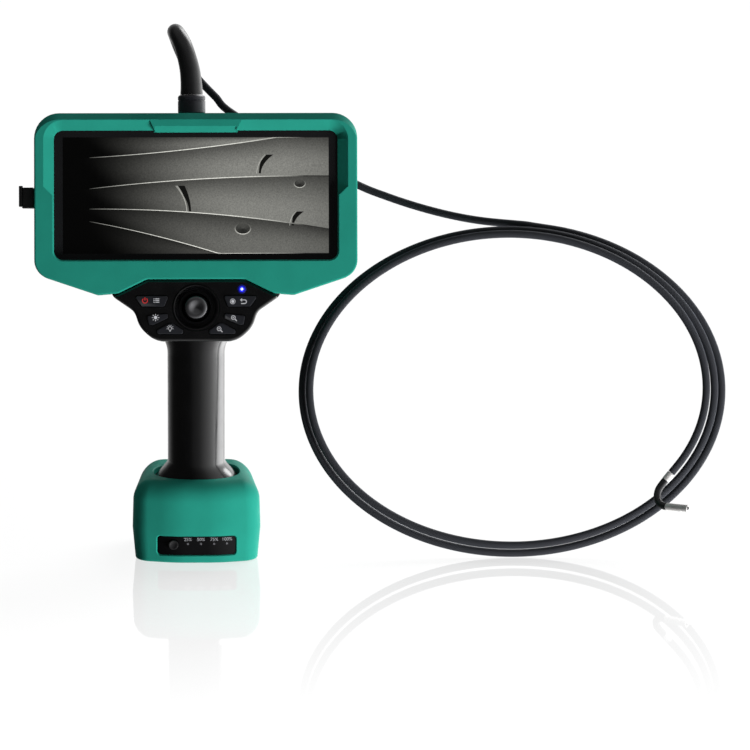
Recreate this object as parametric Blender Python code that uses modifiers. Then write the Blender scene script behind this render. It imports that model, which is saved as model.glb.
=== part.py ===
"""Handheld inspection camera: screen head, joystick panel, grip, clip-on battery base and coiled probe.

One object per sub-part, in metres, +Z up. The origin is the middle of the underside of the base,
the screen faces -Y, and the head leans back by HEAD_TILT.
"""

import math

import bmesh
import bpy
from mathutils import Matrix, Vector

# Fits shared by the whole assembly
GAP = 0.0003
KEY_FIT = 0.00035
SLIDE_FIT = 0.0004
REACH = 0.010
LEAST_ROUND = 0.0002
SMALL_ROUND = 0.0012
CORNER_STEPS = 4
SMALL_STEPS = 2
ROUND_STEPS = 2

# Head: distances are from the middle of the screen, in the leaning plane of the guard's front
HEAD_TILT = math.radians(12.0)
HEAD_CENTRE = Vector((0.0, -0.010, 0.1837))

WINDOW_HALF_WIDTH = 0.0710
WINDOW_TOP = 0.0326
WINDOW_FOOT = 0.0322
WINDOW_CORNER = 0.0045
FLARE_WIDTH = 0.0052
FLARE_DEPTH = 0.0042
FLARE_SIDE_END = -0.0006
FLARE_SLANT = 0.0051
BRIDGE_HALF = 0.0205
BRIDGE_SLANT = 0.0025

GLASS_OVERLAP = 0.0042
GLASS_THICK = 0.0020
GASKET_WIDTH = 0.0032
DISPLAY_THICK = 0.0040
SPLIT_DEPTH = 0.0103

GUARD_SIDE_WALL = 0.0046
GUARD_TOP_WALL = 0.0037
GUARD_FOOT_WALL = 0.0019
GUARD_CORNER = 0.0125
GUARD_FOOT_CORNER = 0.0095
GUARD_WING_HALF = 0.0492
GUARD_WING_DROP = 0.0008
GUARD_NOTCH_FOOT_HALF = 0.0390
GUARD_NOTCH_HALF = 0.0245
GUARD_NOTCH_WALL = 0.0046
GUARD_NOTCH_DROP = 0.0071
GUARD_NOTCH_ROUND = 0.004
GUARD_DEPTH = 0.026
GUARD_ROUND = 0.0028
GUARD_BACK_ROUND = 0.0016
GUARD_LIP = 0.005

HOUSING_SIDE_ROOM = 0.0010
HOUSING_END_ROOM = 0.0008
HOUSING_FOOT_DROOP = 0.0010
HOUSING_CORNER = 0.0095
HOUSING_WING_ROUND = 0.0055
HOUSING_DEPTH = 0.032
HOUSING_WALL = 0.0025
HOUSING_ROUND = 0.0045
SPINE_HALF_WIDTH = 0.0192
SPINE_TOP = 0.024
SPINE_CORNER = 0.009
SPINE_DEPTH = 0.044
SPINE_ROUND = 0.0045
BOARD_DEPTH = 0.0204
BOARD_THICK = 0.0016

MOTOR_RADIUS = 0.0105
MOTOR_LENGTH = 0.0100
PULLEY_RADIUS = 0.0085
PULLEY_THICK = 0.0060
PULLEY_GROOVE = 0.0012

# Control panel, in the same plane as the guard's front
PANEL_SETBACK = 0.003
PANEL_FACE = 0.0024
PANEL_WALL = 0.0020
PANEL_ROUND = 0.0011
PANEL_GAP = 0.00045
PANEL_WING_REACH = 0.0035
PANEL_WING_DROP = 0.0006
PANEL_WING_ROUND = 0.0012
PANEL_NOTCH_ROUND = 0.0030
PANEL_TOP_ROUND = 0.0040
PANEL_WAIST_EDGE = 0.0062
PANEL_WAIST_RISE = 0.0150
PANEL_WAIST_ROUND = 0.0080
PANEL_HIP_EDGE = 0.0085
PANEL_HIP_RISE = 0.0070
PANEL_HIP_ROUND = 0.0060
PANEL_FOOT_EDGE = 0.0038
PANEL_FOOT_SIDE = 0.0008
PANEL_FOOT_ROUND = 0.0065
CRATER_WEB = 0.00215

KEY_PROUD = 0.0009
KEY_FLANGE = 0.0007
KEY_FLANGE_THICK = 0.0008
KEY_CORNER = 0.0010
KEY_ROUND = 0.0004
KEY_TRAVEL = 0.0007
KEYPAD_THICK = 0.0012
DOME_RADIUS = 0.0016
# Corners of the right-hand keys, and the lamp, from the middle of the joystick
TOP_KEY = ((0.0137, 0.0058), (0.0159, 0.0005), (0.0271, 0.0005), (0.0310, 0.0058))
MIDDLE_KEY = (
    (0.0141, -0.0030), (0.0142, -0.0053), (0.0217, -0.0087), (0.0237, -0.0085), (0.0246, -0.0042),
)
LOWER_KEY = (
    (0.0066, -0.0113), (0.0066, -0.0132), (0.0195, -0.0132), (0.0197, -0.0114), (0.0135, -0.0080),
    (0.0117, -0.0080),
)
LAMP_PLACE = (0.0229, 0.0092)
LAMP_RADIUS = 0.0011

JOYSTICK_PIVOT_DEPTH = 0.0095
JOYSTICK_TILT = math.radians(15.0)
SKIRT_RADIUS = 0.0076
SKIRT_THICK = 0.0008
SKIRT_ANGLE = math.radians(64.0)
STICK_RADIUS = 0.0016
BALL_RADIUS = 0.0025
CAP_RADIUS = 0.0057
CAP_HEIGHT = 0.0040
CAP_DISH = 0.0009
BEZEL_RADIUS = 0.0116
BEZEL_LIP = 0.0009
BEZEL_PROUD = 0.0005
GIMBAL_BORE = 0.0032
GIMBAL_RADIUS = 0.0052
GIMBAL_THICK = 0.0022
JOYSTICK_BASE_HALF = 0.0080
JOYSTICK_BASE_DEEP = 0.0090

# Cover over the sockets in the left side of the head
PORT_HEIGHT = -0.0009
PORT_HALF_HEIGHT = 0.0050
PORT_HALF_LENGTH = 0.0036
PORT_DEPTH = 0.0158
PORT_BLOCK_LENGTH = 0.0160
PORT_RECESS = 0.0005
COVER_HINGE_DEPTH = 0.0222
COVER_HINGE_OUT = 0.0015
COVER_LENGTH = 0.0135
COVER_THICK = 0.0078
COVER_HALF_HEIGHT = 0.0052
COVER_LIP_THICK = 0.0016
COVER_LIP_RISE = 0.0008

# Grip
GRIP_CENTRE_Y = -0.002
GRIP_HALF_WIDTH = 0.0139
GRIP_HALF_DEPTH = 0.0179
GRIP_SQUARENESS = 2.7
GRIP_WALL = 0.0024
GRIP_FOOT_HALF_WIDTH = 0.0203
GRIP_FOOT_HALF_DEPTH = 0.0190
GRIP_FOOT_RIM = 0.0036
GRIP_FOOT_FLARE = 0.0095
GRIP_TOP_HALF_WIDTH = 0.0175
GRIP_TOP_FLARE = 0.014
GRIP_SPLIT_Y = -0.0105
GRIP_SIDES = 28

# Battery base: plan sizes are at its widest level
CASE_SIDE = 0.0035
CASE_FRONT = 0.00605
CASE_BACK = 0.00695
BOOT_BACK_TAPER = 0.0020
BOOT_FRONT_FLAT = 0.0120
BOOT_FRONT_SAG = 0.0060
BOOT_FRONT_ROUND = 0.055
BOOT_CORNER = 0.0105
BOOT_HEIGHT = 0.0410
BOOT_BULGE_HEIGHT = 0.0165
BOOT_SHOULDER = 0.0318
BOOT_SHOULDER_INSET = 0.0086
BOOT_LEAST_CORNER = 0.0038
SHOULDER_STEPS = 4
BOOT_FOOT_INSET = 0.0014
BOOT_EDGE = 0.0012
BOOT_WALL = 0.0026
WELL_ROOM = 0.0013
WELL_FLOOR = 0.0336
BASE_PLATE_THICK = 0.0025

TENON_HALF_WIDTH = 0.0100
TENON_HALF_DEPTH = 0.0070
TENON_CORNER = 0.0015
TENON_LENGTH = 0.0062
TENON_FLANGE = 0.0020
CELL_RADIUS = 0.0084
CELL_COUNT = 3
CELL_LENGTH = 0.0455
CELL_ROOM = 0.0004
GAUGE_BOARD_THICK = 0.0012
GAUGE_BOARD_HALF = 0.0220

GAUGE_HEIGHT = 0.0090
GAUGE_HALF_WIDTH = 0.0197
GAUGE_HALF_HEIGHT = 0.0049
GAUGE_CORNER = 0.0016
GAUGE_RECESS = 0.0006
GAUGE_BUTTON_X = -0.0116
GAUGE_BUTTON_RISE = 0.0006
GAUGE_BUTTON_RADIUS = 0.0024
GAUGE_BUTTON_PROUD = 0.0003
GAUGE_BUTTON_TRAVEL = 0.0005
LATCH_HEIGHT = 0.0270
LATCH_HALF_WIDTH = 0.0090
LATCH_HALF_HEIGHT = 0.0030
LATCH_CORNER = 0.0015
LATCH_DEEP = 0.0055
LATCH_PROUD = 0.0007
LATCH_TRAVEL = 0.0012

# Probe
TUBE_DIAMETER = 0.0039
GLAND_X = -0.0020
GLAND_DEPTH = 0.0170
COLLAR_RADIUS = 0.0069
COLLAR_HEIGHT = 0.0091
COLLAR_EDGE = 0.0008
SLEEVE_FOOT_RADIUS = 0.0057
SLEEVE_TIP_RADIUS = 0.0031
SLEEVE_LENGTH = 0.074
SLEEVE_STEP = 0.0050
LEAD_STEP = 0.0095
COIL_LEAN = math.radians(14.6)
COIL_FOOT_X = 0.1582
COIL_FOOT_Y = -0.0208
COIL_HALF_WIDTH = 0.1079
COIL_HALF_HEIGHT = 0.0838
COIL_ROOM = 0.0005
COIL_TOP_NEST = 0.0019
COIL_DEPTH_PITCH = 0.0040
COIL_START = 0.030
COIL_TURNS = 2.3375
COIL_LOWEST = 0.5
COIL_POINTS = 36
COIL_FLOOR_GAP = 0.0002
COIL_END_RISE = 0.0030
COIL_RISE_TURNS = 0.14
COIL_STUB = 0.0042

FERRULE_LENGTH = 0.0090
FERRULE_BAND = 0.0046
LINK_RADIUS = 0.00185
LINK_PITCH = 0.0034
LINK_COUNT = 4
LINK_WAIST = 0.0010
CUP_WALL = 0.00015
CUP_FIT = 0.00010
NECK_REST_BEND = math.radians(23.0)
NECK_ROLL = math.radians(42.5)
TIP_RADIUS = 0.00185
TIP_LENGTH = 0.0150
TIP_EDGE = 0.0003
LENS_RADIUS = 0.0009
LENS_DEEP = 0.0008
LENS_OFFSET = 0.0005
LAMP_TIP_RADIUS = 0.00035
LAMP_TIP_OFFSET = 0.0011

# Sizes that follow from the ones above: the guard and the housing from the window and the glass,
# the panel from the keys and the joystick, the base from the cells
HOUSING_HALF_WIDTH = WINDOW_HALF_WIDTH + GLASS_OVERLAP + HOUSING_SIDE_ROOM
HOUSING_TOP = WINDOW_TOP + GLASS_OVERLAP + HOUSING_END_ROOM
HOUSING_FOOT = WINDOW_FOOT + GLASS_OVERLAP + HOUSING_END_ROOM
GUARD_HALF_WIDTH = HOUSING_HALF_WIDTH + GUARD_SIDE_WALL
GUARD_TOP = HOUSING_TOP + GUARD_TOP_WALL
GUARD_SIDE_FOOT = HOUSING_FOOT + GUARD_FOOT_WALL
GUARD_NOTCH_TOP = HOUSING_FOOT + GUARD_NOTCH_WALL
GUARD_NOTCH_FOOT = GUARD_NOTCH_TOP + GUARD_NOTCH_DROP
GUARD_WING_FOOT = GUARD_NOTCH_FOOT + GUARD_WING_DROP
JOYSTICK_DROP = GUARD_NOTCH_TOP + PANEL_GAP + CRATER_WEB + BEZEL_RADIUS
PANEL_FOOT = JOYSTICK_DROP - min(y for x, y in LOWER_KEY) + PANEL_FOOT_EDGE
PANEL_HIP = PANEL_FOOT - PANEL_HIP_RISE
PANEL_WAIST = PANEL_FOOT - PANEL_WAIST_RISE
PANEL_FOOT_HALF = max(x for x, y in LOWER_KEY) + PANEL_FOOT_SIDE
PANEL_HIP_HALF = max(x for x, y in LOWER_KEY) + PANEL_HIP_EDGE
PANEL_WAIST_HALF = max(x for x, y in MIDDLE_KEY) + PANEL_WAIST_EDGE
PANEL_WING_HALF = GUARD_NOTCH_FOOT_HALF + PANEL_WING_REACH
BOOT_SKIN = BOOT_WALL + GAP
BOOT_HALF_WIDTH = CELL_COUNT * CELL_RADIUS + CELL_ROOM + CASE_SIDE + BOOT_SKIN
BOOT_BACK_HALF = BOOT_HALF_WIDTH - BOOT_BACK_TAPER
BOOT_FRONT = CELL_LENGTH / 2 + GAUGE_BOARD_THICK + 2 * GAP + CASE_FRONT + BOOT_SKIN
BOOT_BACK = CELL_LENGTH / 2 + CELL_ROOM + CASE_BACK + BOOT_SKIN
WELL_HALF_WIDTH = GRIP_FOOT_HALF_WIDTH + WELL_ROOM
WELL_HALF_DEPTH = GRIP_FOOT_HALF_DEPTH + WELL_ROOM
COIL_PITCH = TUBE_DIAMETER + COIL_ROOM
BALL_JOINT_RADIUS = LINK_RADIUS - CUP_WALL - CUP_FIT

# Heights and depths that follow in turn; z is measured from the guard's front, backwards
GLASS_FRONT = -GUARD_LIP - GAP
GLASS_BACK = GLASS_FRONT - GLASS_THICK
SPLIT = -SPLIT_DEPTH
PANEL_FRONT = -PANEL_SETBACK
PANEL_BACK = SPLIT + GAP
POCKET_FLOOR = PANEL_FRONT - PANEL_FACE
KEY_BACK = POCKET_FLOOR - GAP - KEY_FLANGE_THICK
DOME_TOP = KEY_BACK - KEY_TRAVEL - GAP
KEYPAD_BACK = PANEL_BACK + GAP
KEYPAD_FRONT = KEYPAD_BACK + KEYPAD_THICK
BEZEL_RISE = JOYSTICK_PIVOT_DEPTH + POCKET_FLOOR - BEZEL_LIP
BEZEL_BORE = math.sqrt(SKIRT_RADIUS**2 - BEZEL_RISE**2) + SLIDE_FIT
GRIP_FOOT = WELL_FLOOR + GAP
PROBE_RADIUS = TUBE_DIAMETER / 2
HEAD_FRAME = Matrix.Translation(HEAD_CENTRE) @ Matrix.Rotation(math.pi / 2 - HEAD_TILT, 4, "X")
GLAND_FRAME = (
    HEAD_FRAME
    @ Matrix.Translation((GLAND_X, GUARD_TOP + GAP, -GLAND_DEPTH))
    @ Matrix.Rotation(-math.pi / 2, 4, "X")
)
GAUGE_FRAME = Matrix.Translation((0.0, -BOOT_FRONT, GAUGE_HEIGHT)) @ Matrix.Rotation(math.pi / 2, 4, "X")
LATCH_FRAME = (
    Matrix.Translation((0.0, BOOT_BACK, LATCH_HEIGHT))
    @ Matrix.Rotation(math.pi, 4, "Z")
    @ Matrix.Rotation(math.pi / 2, 4, "X")
)
PORT_FRAME = (
    HEAD_FRAME
    @ Matrix.Translation((-GUARD_HALF_WIDTH - COVER_HINGE_OUT, PORT_HEIGHT, -COVER_HINGE_DEPTH))
    @ Matrix(((-1, 0, 0, 0), (0, 0, 1, 0), (0, 1, 0, 0), (0, 0, 0, 1)))
)
WORLD = Matrix.Identity(4)

# The probe's route from the strain relief, in the gland's own frame, then down to the coil in the world's
SLEEVE_ROUTE = (
    (0.0, 0.0, 0.0), (-0.0002, 0.0, 0.0060), (-0.0012, 0.0003, 0.0140), (-0.0040, 0.0024, 0.0242),
    (-0.0069, 0.0075, 0.0302), (-0.0082, 0.0160, 0.0322), (-0.0076, 0.0245, 0.0300),
    (-0.0054, 0.0303, 0.0238), (-0.0018, 0.0324, 0.0158), (0.0045, 0.0332, 0.0078),
    (0.0122, 0.0334, -0.0002), (0.0200, 0.0334, -0.0080),
)
LEAD_ROUTE = (
    (0.0512, 0.0470, 0.1951), (0.0806, 0.0445, 0.1794), (0.0968, 0.0415, 0.1732),
    (0.1130, 0.0375, 0.1685), (0.1292, 0.0328, 0.1651), (0.1453, 0.0280, 0.1631),
)


def new_collection(name):
    collection = bpy.data.collections.new(name)
    bpy.context.scene.collection.children.link(collection)
    return collection


for leftover in list(bpy.data.objects):
    bpy.data.objects.remove(leftover, do_unlink=True)
PARTS = new_collection("inspection_camera")
CUTTERS = new_collection("cutters")


def material(name, colour, roughness, metallic=0.0):
    made = bpy.data.materials.new(name)
    made.use_nodes = True
    shader = made.node_tree.nodes["Principled BSDF"]
    shader.inputs["Base Color"].default_value = (*colour, 1.0)
    shader.inputs["Roughness"].default_value = roughness
    shader.inputs["Metallic"].default_value = metallic
    made.diffuse_color = (*colour, 1.0)
    return made


GREEN = ((0.018, 0.262, 0.195), 0.45)
BLACK_GLOSS = ((0.012, 0.012, 0.013), 0.18)
BLACK_MATT = ((0.020, 0.020, 0.021), 0.55)
RUBBER = ((0.014, 0.014, 0.015), 0.70)
GLASS = ((0.006, 0.006, 0.007), 0.05)
KEY_GREY = ((0.030, 0.031, 0.033), 0.50)
BOARD_GREEN = ((0.010, 0.080, 0.035), 0.60)
STEEL = ((0.560, 0.560, 0.570), 0.25, 1.0)
ANODISED = ((0.045, 0.043, 0.050), 0.30, 0.8)
BRAID = ((0.024, 0.025, 0.029), 0.45)
BLUE = ((0.020, 0.090, 0.700), 0.30)


def add(name, data, look, frame=WORLD, origin=(0.0, 0.0, 0.0)):
    """Adds a part drawn in frame, with the object's own origin at the point origin of that frame."""
    if isinstance(data, bpy.types.Mesh):
        data.transform(Matrix.Translation(-Vector(origin)))
    obj = bpy.data.objects.new(name, data)
    obj.matrix_world = frame @ Matrix.Translation(origin)
    if look is None:
        CUTTERS.objects.link(obj)
        obj.hide_render = True
        obj.display_type = "WIRE"
    else:
        PARTS.objects.link(obj)
        data.materials.append(material(name, *look))
    return obj


def boolean(target, other, operation="DIFFERENCE"):
    step = target.modifiers.new(f"{operation.lower()} {other.name}", "BOOLEAN")
    step.operation = operation
    step.solver = "EXACT"
    step.object = other


def mirrored(right):
    """A closed outline from the corners of its right side, listed from the foot to the top."""
    left = [(-x, y, *rest) for x, y, *rest in reversed(right)]
    return list(right) + left


def rectangle(half_width, low, high, corner):
    return mirrored([(half_width, low, corner), (half_width, high, corner)])


def offset(corners, distance, least=LEAST_ROUND):
    """The outline (x, y, radius), listed anticlockwise, moved outwards by distance."""
    moved = []
    for index, (x, y, radius) in enumerate(corners):
        before = Vector((x, y)) - Vector(corners[index - 1][:2])
        after = Vector(corners[(index + 1) % len(corners)][:2]) - Vector((x, y))
        before.normalize()
        after.normalize()
        normal_before = Vector((before.y, -before.x))
        normal_after = Vector((after.y, -after.x))
        shift = (normal_before + normal_after) * (distance / (1.0 + normal_before.dot(normal_after)))
        turns_left = before.x * after.y - before.y * after.x > 0.0
        rounder = radius + distance if turns_left else radius - distance
        moved.append((x + shift.x, y + shift.y, max(rounder, least)))
    return moved


def rounded(corners, small_steps=CORNER_STEPS):
    """The outline's points, with CORNER_STEPS segments round a corner and small_steps round a small one."""
    points = []
    for index, (x, y, radius) in enumerate(corners):
        steps = CORNER_STEPS if radius > SMALL_ROUND else small_steps
        corner = Vector((x, y))
        to_before = (Vector(corners[index - 1][:2]) - corner).normalized()
        to_after = (Vector(corners[(index + 1) % len(corners)][:2]) - corner).normalized()
        half_angle = to_before.angle(to_after) / 2
        centre = corner + (to_before + to_after).normalized() * (radius / math.sin(half_angle))
        start = corner + to_before * (radius / math.tan(half_angle)) - centre
        end = corner + to_after * (radius / math.tan(half_angle)) - centre
        sweep = start.angle_signed(end)
        for step in range(steps + 1):
            turn = -sweep * step / steps
            points.append(centre + Matrix.Rotation(turn, 2) @ start)
    return points


def extruded(name, outlines, low, high, low_round=0.0, high_round=0.0):
    """A mesh from flat outlines, the first one outer and the rest holes, between two heights."""
    curve = bpy.data.curves.new(name, "CURVE")
    curve.dimensions = "2D"
    curve.fill_mode = "BOTH"
    curve.extrude = (high - low) / 2
    for outline in outlines:
        points = rounded(outline, SMALL_STEPS)
        spline = curve.splines.new("POLY")
        spline.points.add(len(points) - 1)
        spline.use_cyclic_u = True
        for slot, point in zip(spline.points, points):
            slot.co = (point.x, point.y, 0.0, 1.0)
    sketch = bpy.data.objects.new(name, curve)
    mesh = bpy.data.meshes.new_from_object(sketch)
    bpy.data.objects.remove(sketch)
    bpy.data.curves.remove(curve)
    shape = bmesh.new()
    shape.from_mesh(mesh)
    bmesh.ops.remove_doubles(shape, verts=shape.verts, dist=1e-6)
    bmesh.ops.translate(shape, verts=shape.verts, vec=(0.0, 0.0, (low + high) / 2))
    weight = shape.edges.layers.float.new("bevel_weight_edge")
    widest = max(low_round, high_round)
    if widest:
        bmesh.ops.dissolve_limit(shape, angle_limit=0.005, verts=shape.verts, edges=shape.edges)
    for edge in shape.edges:
        heights = [vert.co.z for vert in edge.verts]
        if min(heights) > high - 1e-6 and widest:
            edge[weight] = high_round / widest
        elif max(heights) < low + 1e-6 and widest:
            edge[weight] = low_round / widest
    shape.to_mesh(mesh)
    shape.free()
    mesh.name = name
    return mesh


def plate(
    name, outlines, low, high, look, frame=WORLD, origin=(0.0, 0.0, 0.0), low_round=0.0, high_round=0.0
):
    mesh = extruded(name, outlines, low, high, low_round, high_round)
    obj = add(name, mesh, look, frame, origin)
    if max(low_round, high_round):
        edge = obj.modifiers.new("rounded edges", "BEVEL")
        edge.limit_method = "WEIGHT"
        edge.width = max(low_round, high_round)
        edge.segments = ROUND_STEPS
    return obj


def turned(name, profile, look, frame=WORLD, steps=24):
    """A solid of revolution about the frame's Z, from (radius, height) points listed from the top down."""
    mesh = bpy.data.meshes.new(name)
    points = [(radius, 0.0, height) for radius, height in profile]
    closed = profile[0][0] > 0.0
    edges = [(i, i + 1) for i in range(len(points) - 1)]
    if closed:
        edges.append((len(points) - 1, 0))
    mesh.from_pydata(points, edges, [])
    obj = add(name, mesh, look, frame)
    spin = obj.modifiers.new("turn", "SCREW")
    spin.axis = "Z"
    spin.steps = steps
    spin.render_steps = steps
    spin.use_merge_vertices = True
    spin.merge_threshold = 1e-5
    spin.use_smooth_shade = False
    return obj


def rod(name, radius, low, high, look, frame=WORLD, steps=24):
    return turned(name, [(0.0, high), (radius, high), (radius, low), (0.0, low)], look, frame, steps)


def lofted(name, rings):
    """A closed mesh through rings of equally many points, listed upwards."""
    shape = bmesh.new()
    rows = [[shape.verts.new(point) for point in ring] for ring in rings]
    for lower, upper in zip(rows, rows[1:]):
        for index in range(len(lower)):
            after = (index + 1) % len(lower)
            shape.faces.new((lower[index], lower[after], upper[after], upper[index]))
    shape.faces.new(list(reversed(rows[0])))
    shape.faces.new(rows[-1])
    mesh = bpy.data.meshes.new(name)
    shape.to_mesh(mesh)
    shape.free()
    return mesh


def tube(name, points, radius, look, resolution, radii=None):
    curve = bpy.data.curves.new(name, "CURVE")
    curve.dimensions = "3D"
    curve.bevel_depth = radius
    curve.bevel_resolution = resolution
    curve.use_fill_caps = True
    curve.twist_mode = "MINIMUM"
    spline = curve.splines.new("POLY")
    spline.points.add(len(points) - 1)
    for index, (slot, point) in enumerate(zip(spline.points, points)):
        slot.co = (*point, 1.0)
        slot.radius = 1.0 if radii is None else radii[index] / radius
    return add(name, curve, look)


def guard_corners():
    return mirrored([
        (GUARD_NOTCH_HALF, -GUARD_NOTCH_TOP, GUARD_NOTCH_ROUND),
        (GUARD_NOTCH_FOOT_HALF, -GUARD_NOTCH_FOOT, GUARD_NOTCH_ROUND),
        (GUARD_WING_HALF, -GUARD_WING_FOOT, GUARD_NOTCH_ROUND),
        (GUARD_HALF_WIDTH, -GUARD_SIDE_FOOT, GUARD_FOOT_CORNER),
        (GUARD_HALF_WIDTH, GUARD_TOP, GUARD_CORNER),
    ])


def window_corners():
    return rectangle(WINDOW_HALF_WIDTH, -WINDOW_FOOT, WINDOW_TOP, WINDOW_CORNER)


def neck_side(wing_round):
    """The right side of the panel below the guard, from its foot up."""
    return [
        (PANEL_FOOT_HALF, -PANEL_FOOT, PANEL_FOOT_ROUND),
        (PANEL_HIP_HALF, -PANEL_HIP, PANEL_HIP_ROUND),
        (PANEL_WAIST_HALF, -PANEL_WAIST, PANEL_WAIST_ROUND),
        (PANEL_WING_HALF, -GUARD_NOTCH_FOOT - PANEL_GAP - PANEL_WING_DROP, wing_round),
    ]


def panel_corners():
    top = [
        (GUARD_NOTCH_FOOT_HALF, -GUARD_NOTCH_FOOT - PANEL_GAP, PANEL_NOTCH_ROUND),
        (GUARD_NOTCH_HALF, -GUARD_NOTCH_TOP - PANEL_GAP, PANEL_TOP_ROUND),
    ]
    return mirrored(neck_side(PANEL_WING_ROUND) + top)


def pocket_corners():
    """The hollow behind the panel's face, which stops short of the two wings."""
    side = neck_side(PANEL_WING_ROUND)[:-1]
    top = [
        (GUARD_NOTCH_FOOT_HALF, -GUARD_NOTCH_FOOT - PANEL_GAP, PANEL_NOTCH_ROUND),
        (GUARD_NOTCH_HALF, -GUARD_NOTCH_TOP - PANEL_GAP, PANEL_TOP_ROUND),
    ]
    return offset(mirrored(side + top), -PANEL_WALL)


def housing_corners():
    head = [
        (PANEL_WING_HALF, -HOUSING_FOOT - HOUSING_FOOT_DROOP, PANEL_NOTCH_ROUND),
        (HOUSING_HALF_WIDTH, -HOUSING_FOOT, HOUSING_CORNER),
        (HOUSING_HALF_WIDTH, HOUSING_TOP, HOUSING_CORNER),
    ]
    return mirrored(neck_side(HOUSING_WING_ROUND) + head)


def head_box_corners():
    return rectangle(HOUSING_HALF_WIDTH, -HOUSING_FOOT, HOUSING_TOP, HOUSING_CORNER)


def spine_corners():
    return rectangle(SPINE_HALF_WIDTH, -PANEL_FOOT, SPINE_TOP, SPINE_CORNER)


def at_height(outline, height):
    return [Vector((point.x, point.y, height)) for point in rounded(outline)]


def build_guard():
    guard = plate(
        "guard_frame", [guard_corners()], -GUARD_DEPTH, 0.0, GREEN, HEAD_FRAME,
        low_round=GUARD_BACK_ROUND, high_round=GUARD_ROUND,
    )
    window = plate("window_cut", [window_corners()], -GUARD_DEPTH - REACH, REACH, None, HEAD_FRAME)
    cavity_edge = offset(housing_corners(), GAP)
    cavity = plate("guard_cavity_cut", [cavity_edge], -GUARD_DEPTH - REACH, -GUARD_LIP, None, HEAD_FRAME)
    # The window flares in the two upper corners only, between the top bridge and the middle of each side.
    splay = FLARE_WIDTH / FLARE_DEPTH
    flare_mesh = lofted("flare_cut", [
        at_height(offset(window_corners(), -GAP * splay), -FLARE_DEPTH - GAP),
        at_height(offset(window_corners(), (FLARE_DEPTH + REACH) * splay), REACH),
    ])
    flare = add("flare_cut", flare_mesh, None, HEAD_FRAME)
    far_x = GUARD_HALF_WIDTH + REACH
    far_y = GUARD_TOP + REACH
    slope = FLARE_SLANT / FLARE_WIDTH
    bridge_slope = BRIDGE_SLANT / FLARE_WIDTH
    mask = [
        (WINDOW_HALF_WIDTH - REACH, FLARE_SIDE_END - REACH * slope),
        (far_x, FLARE_SIDE_END + (far_x - WINDOW_HALF_WIDTH) * slope),
        (far_x, far_y),
        (BRIDGE_HALF + (far_y - WINDOW_TOP) * bridge_slope, far_y),
        (BRIDGE_HALF - REACH * bridge_slope, WINDOW_TOP - REACH),
        (WINDOW_HALF_WIDTH - REACH, WINDOW_TOP - REACH),
    ]
    for side, sign in (("right", 1), ("left", -1)):
        ordered = mask if sign > 0 else list(reversed(mask))
        corners = [(sign * x, y, LEAST_ROUND) for x, y in ordered]
        keep = plate(f"flare_{side}_mask", [corners], -GUARD_DEPTH, 2 * REACH, None, HEAD_FRAME)
        bite = add(f"flare_{side}_cut", flare.data, None, HEAD_FRAME)
        boolean(bite, keep, "INTERSECT")
        boolean(guard, bite)
    boolean(guard, window)
    boolean(guard, cavity)
    return guard


def build_head():
    guard = build_guard()
    housing = plate(
        "rear_housing", [housing_corners()], -HOUSING_DEPTH, SPLIT, BLACK_MATT, HEAD_FRAME,
        low_round=HOUSING_ROUND,
    )
    spine = plate(
        "spine_join", [offset(spine_corners(), -GAP)], -SPINE_DEPTH, SPLIT - HOUSING_WALL, None, HEAD_FRAME,
        low_round=SPINE_ROUND,
    )
    boolean(housing, spine, "UNION")
    hollow_edge = offset(housing_corners(), -HOUSING_WALL)
    hollow_back = -HOUSING_DEPTH + HOUSING_WALL
    boolean(housing, plate("housing_hollow_cut", [hollow_edge], hollow_back, REACH, None, HEAD_FRAME))
    spine_hollow = plate(
        "spine_hollow_cut", [offset(spine_corners(), -HOUSING_WALL - GAP)], -SPINE_DEPTH + HOUSING_WALL,
        -SPLIT_DEPTH - HOUSING_WALL, None, HEAD_FRAME,
    )
    boolean(housing, spine_hollow)
    glass_edge = offset(window_corners(), GLASS_OVERLAP)
    plate("cover_glass", [glass_edge], GLASS_BACK, GLASS_FRONT, GLASS, HEAD_FRAME)
    gasket_outer = offset(window_corners(), GLASS_OVERLAP - GAP)
    gasket_inner = offset(window_corners(), GLASS_OVERLAP - GAP - GASKET_WIDTH)
    plate("display_gasket", [gasket_outer, gasket_inner], SPLIT + GAP, GLASS_BACK - GAP, RUBBER, HEAD_FRAME)
    display_edge = offset(window_corners(), GLASS_OVERLAP - 2 * GAP - GASKET_WIDTH)
    front = GLASS_BACK - GAP
    plate("display_module", [display_edge], front - DISPLAY_THICK, front, BLACK_MATT, HEAD_FRAME)
    board_edge = offset(head_box_corners(), -HOUSING_WALL - SLIDE_FIT)
    plate("main_board", [board_edge], -BOARD_DEPTH - BOARD_THICK, -BOARD_DEPTH, BOARD_GREEN, HEAD_FRAME)

    motor_front = -BOARD_DEPTH - BOARD_THICK - GAP
    motor_back = motor_front - MOTOR_LENGTH
    rod("steering_motor", MOTOR_RADIUS, motor_back, motor_front, STEEL, HEAD_FRAME)
    pulley_front = motor_back - GAP
    pulley_back = pulley_front - PULLEY_THICK
    middle = (pulley_front + pulley_back) / 2
    groove = [
        (0.0, pulley_front), (PULLEY_RADIUS, pulley_front), (PULLEY_RADIUS - PULLEY_GROOVE, middle),
        (PULLEY_RADIUS, pulley_back), (0.0, pulley_back),
    ]
    turned("steering_pulley", groove, STEEL, HEAD_FRAME)
    build_ports(guard, housing)


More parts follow.
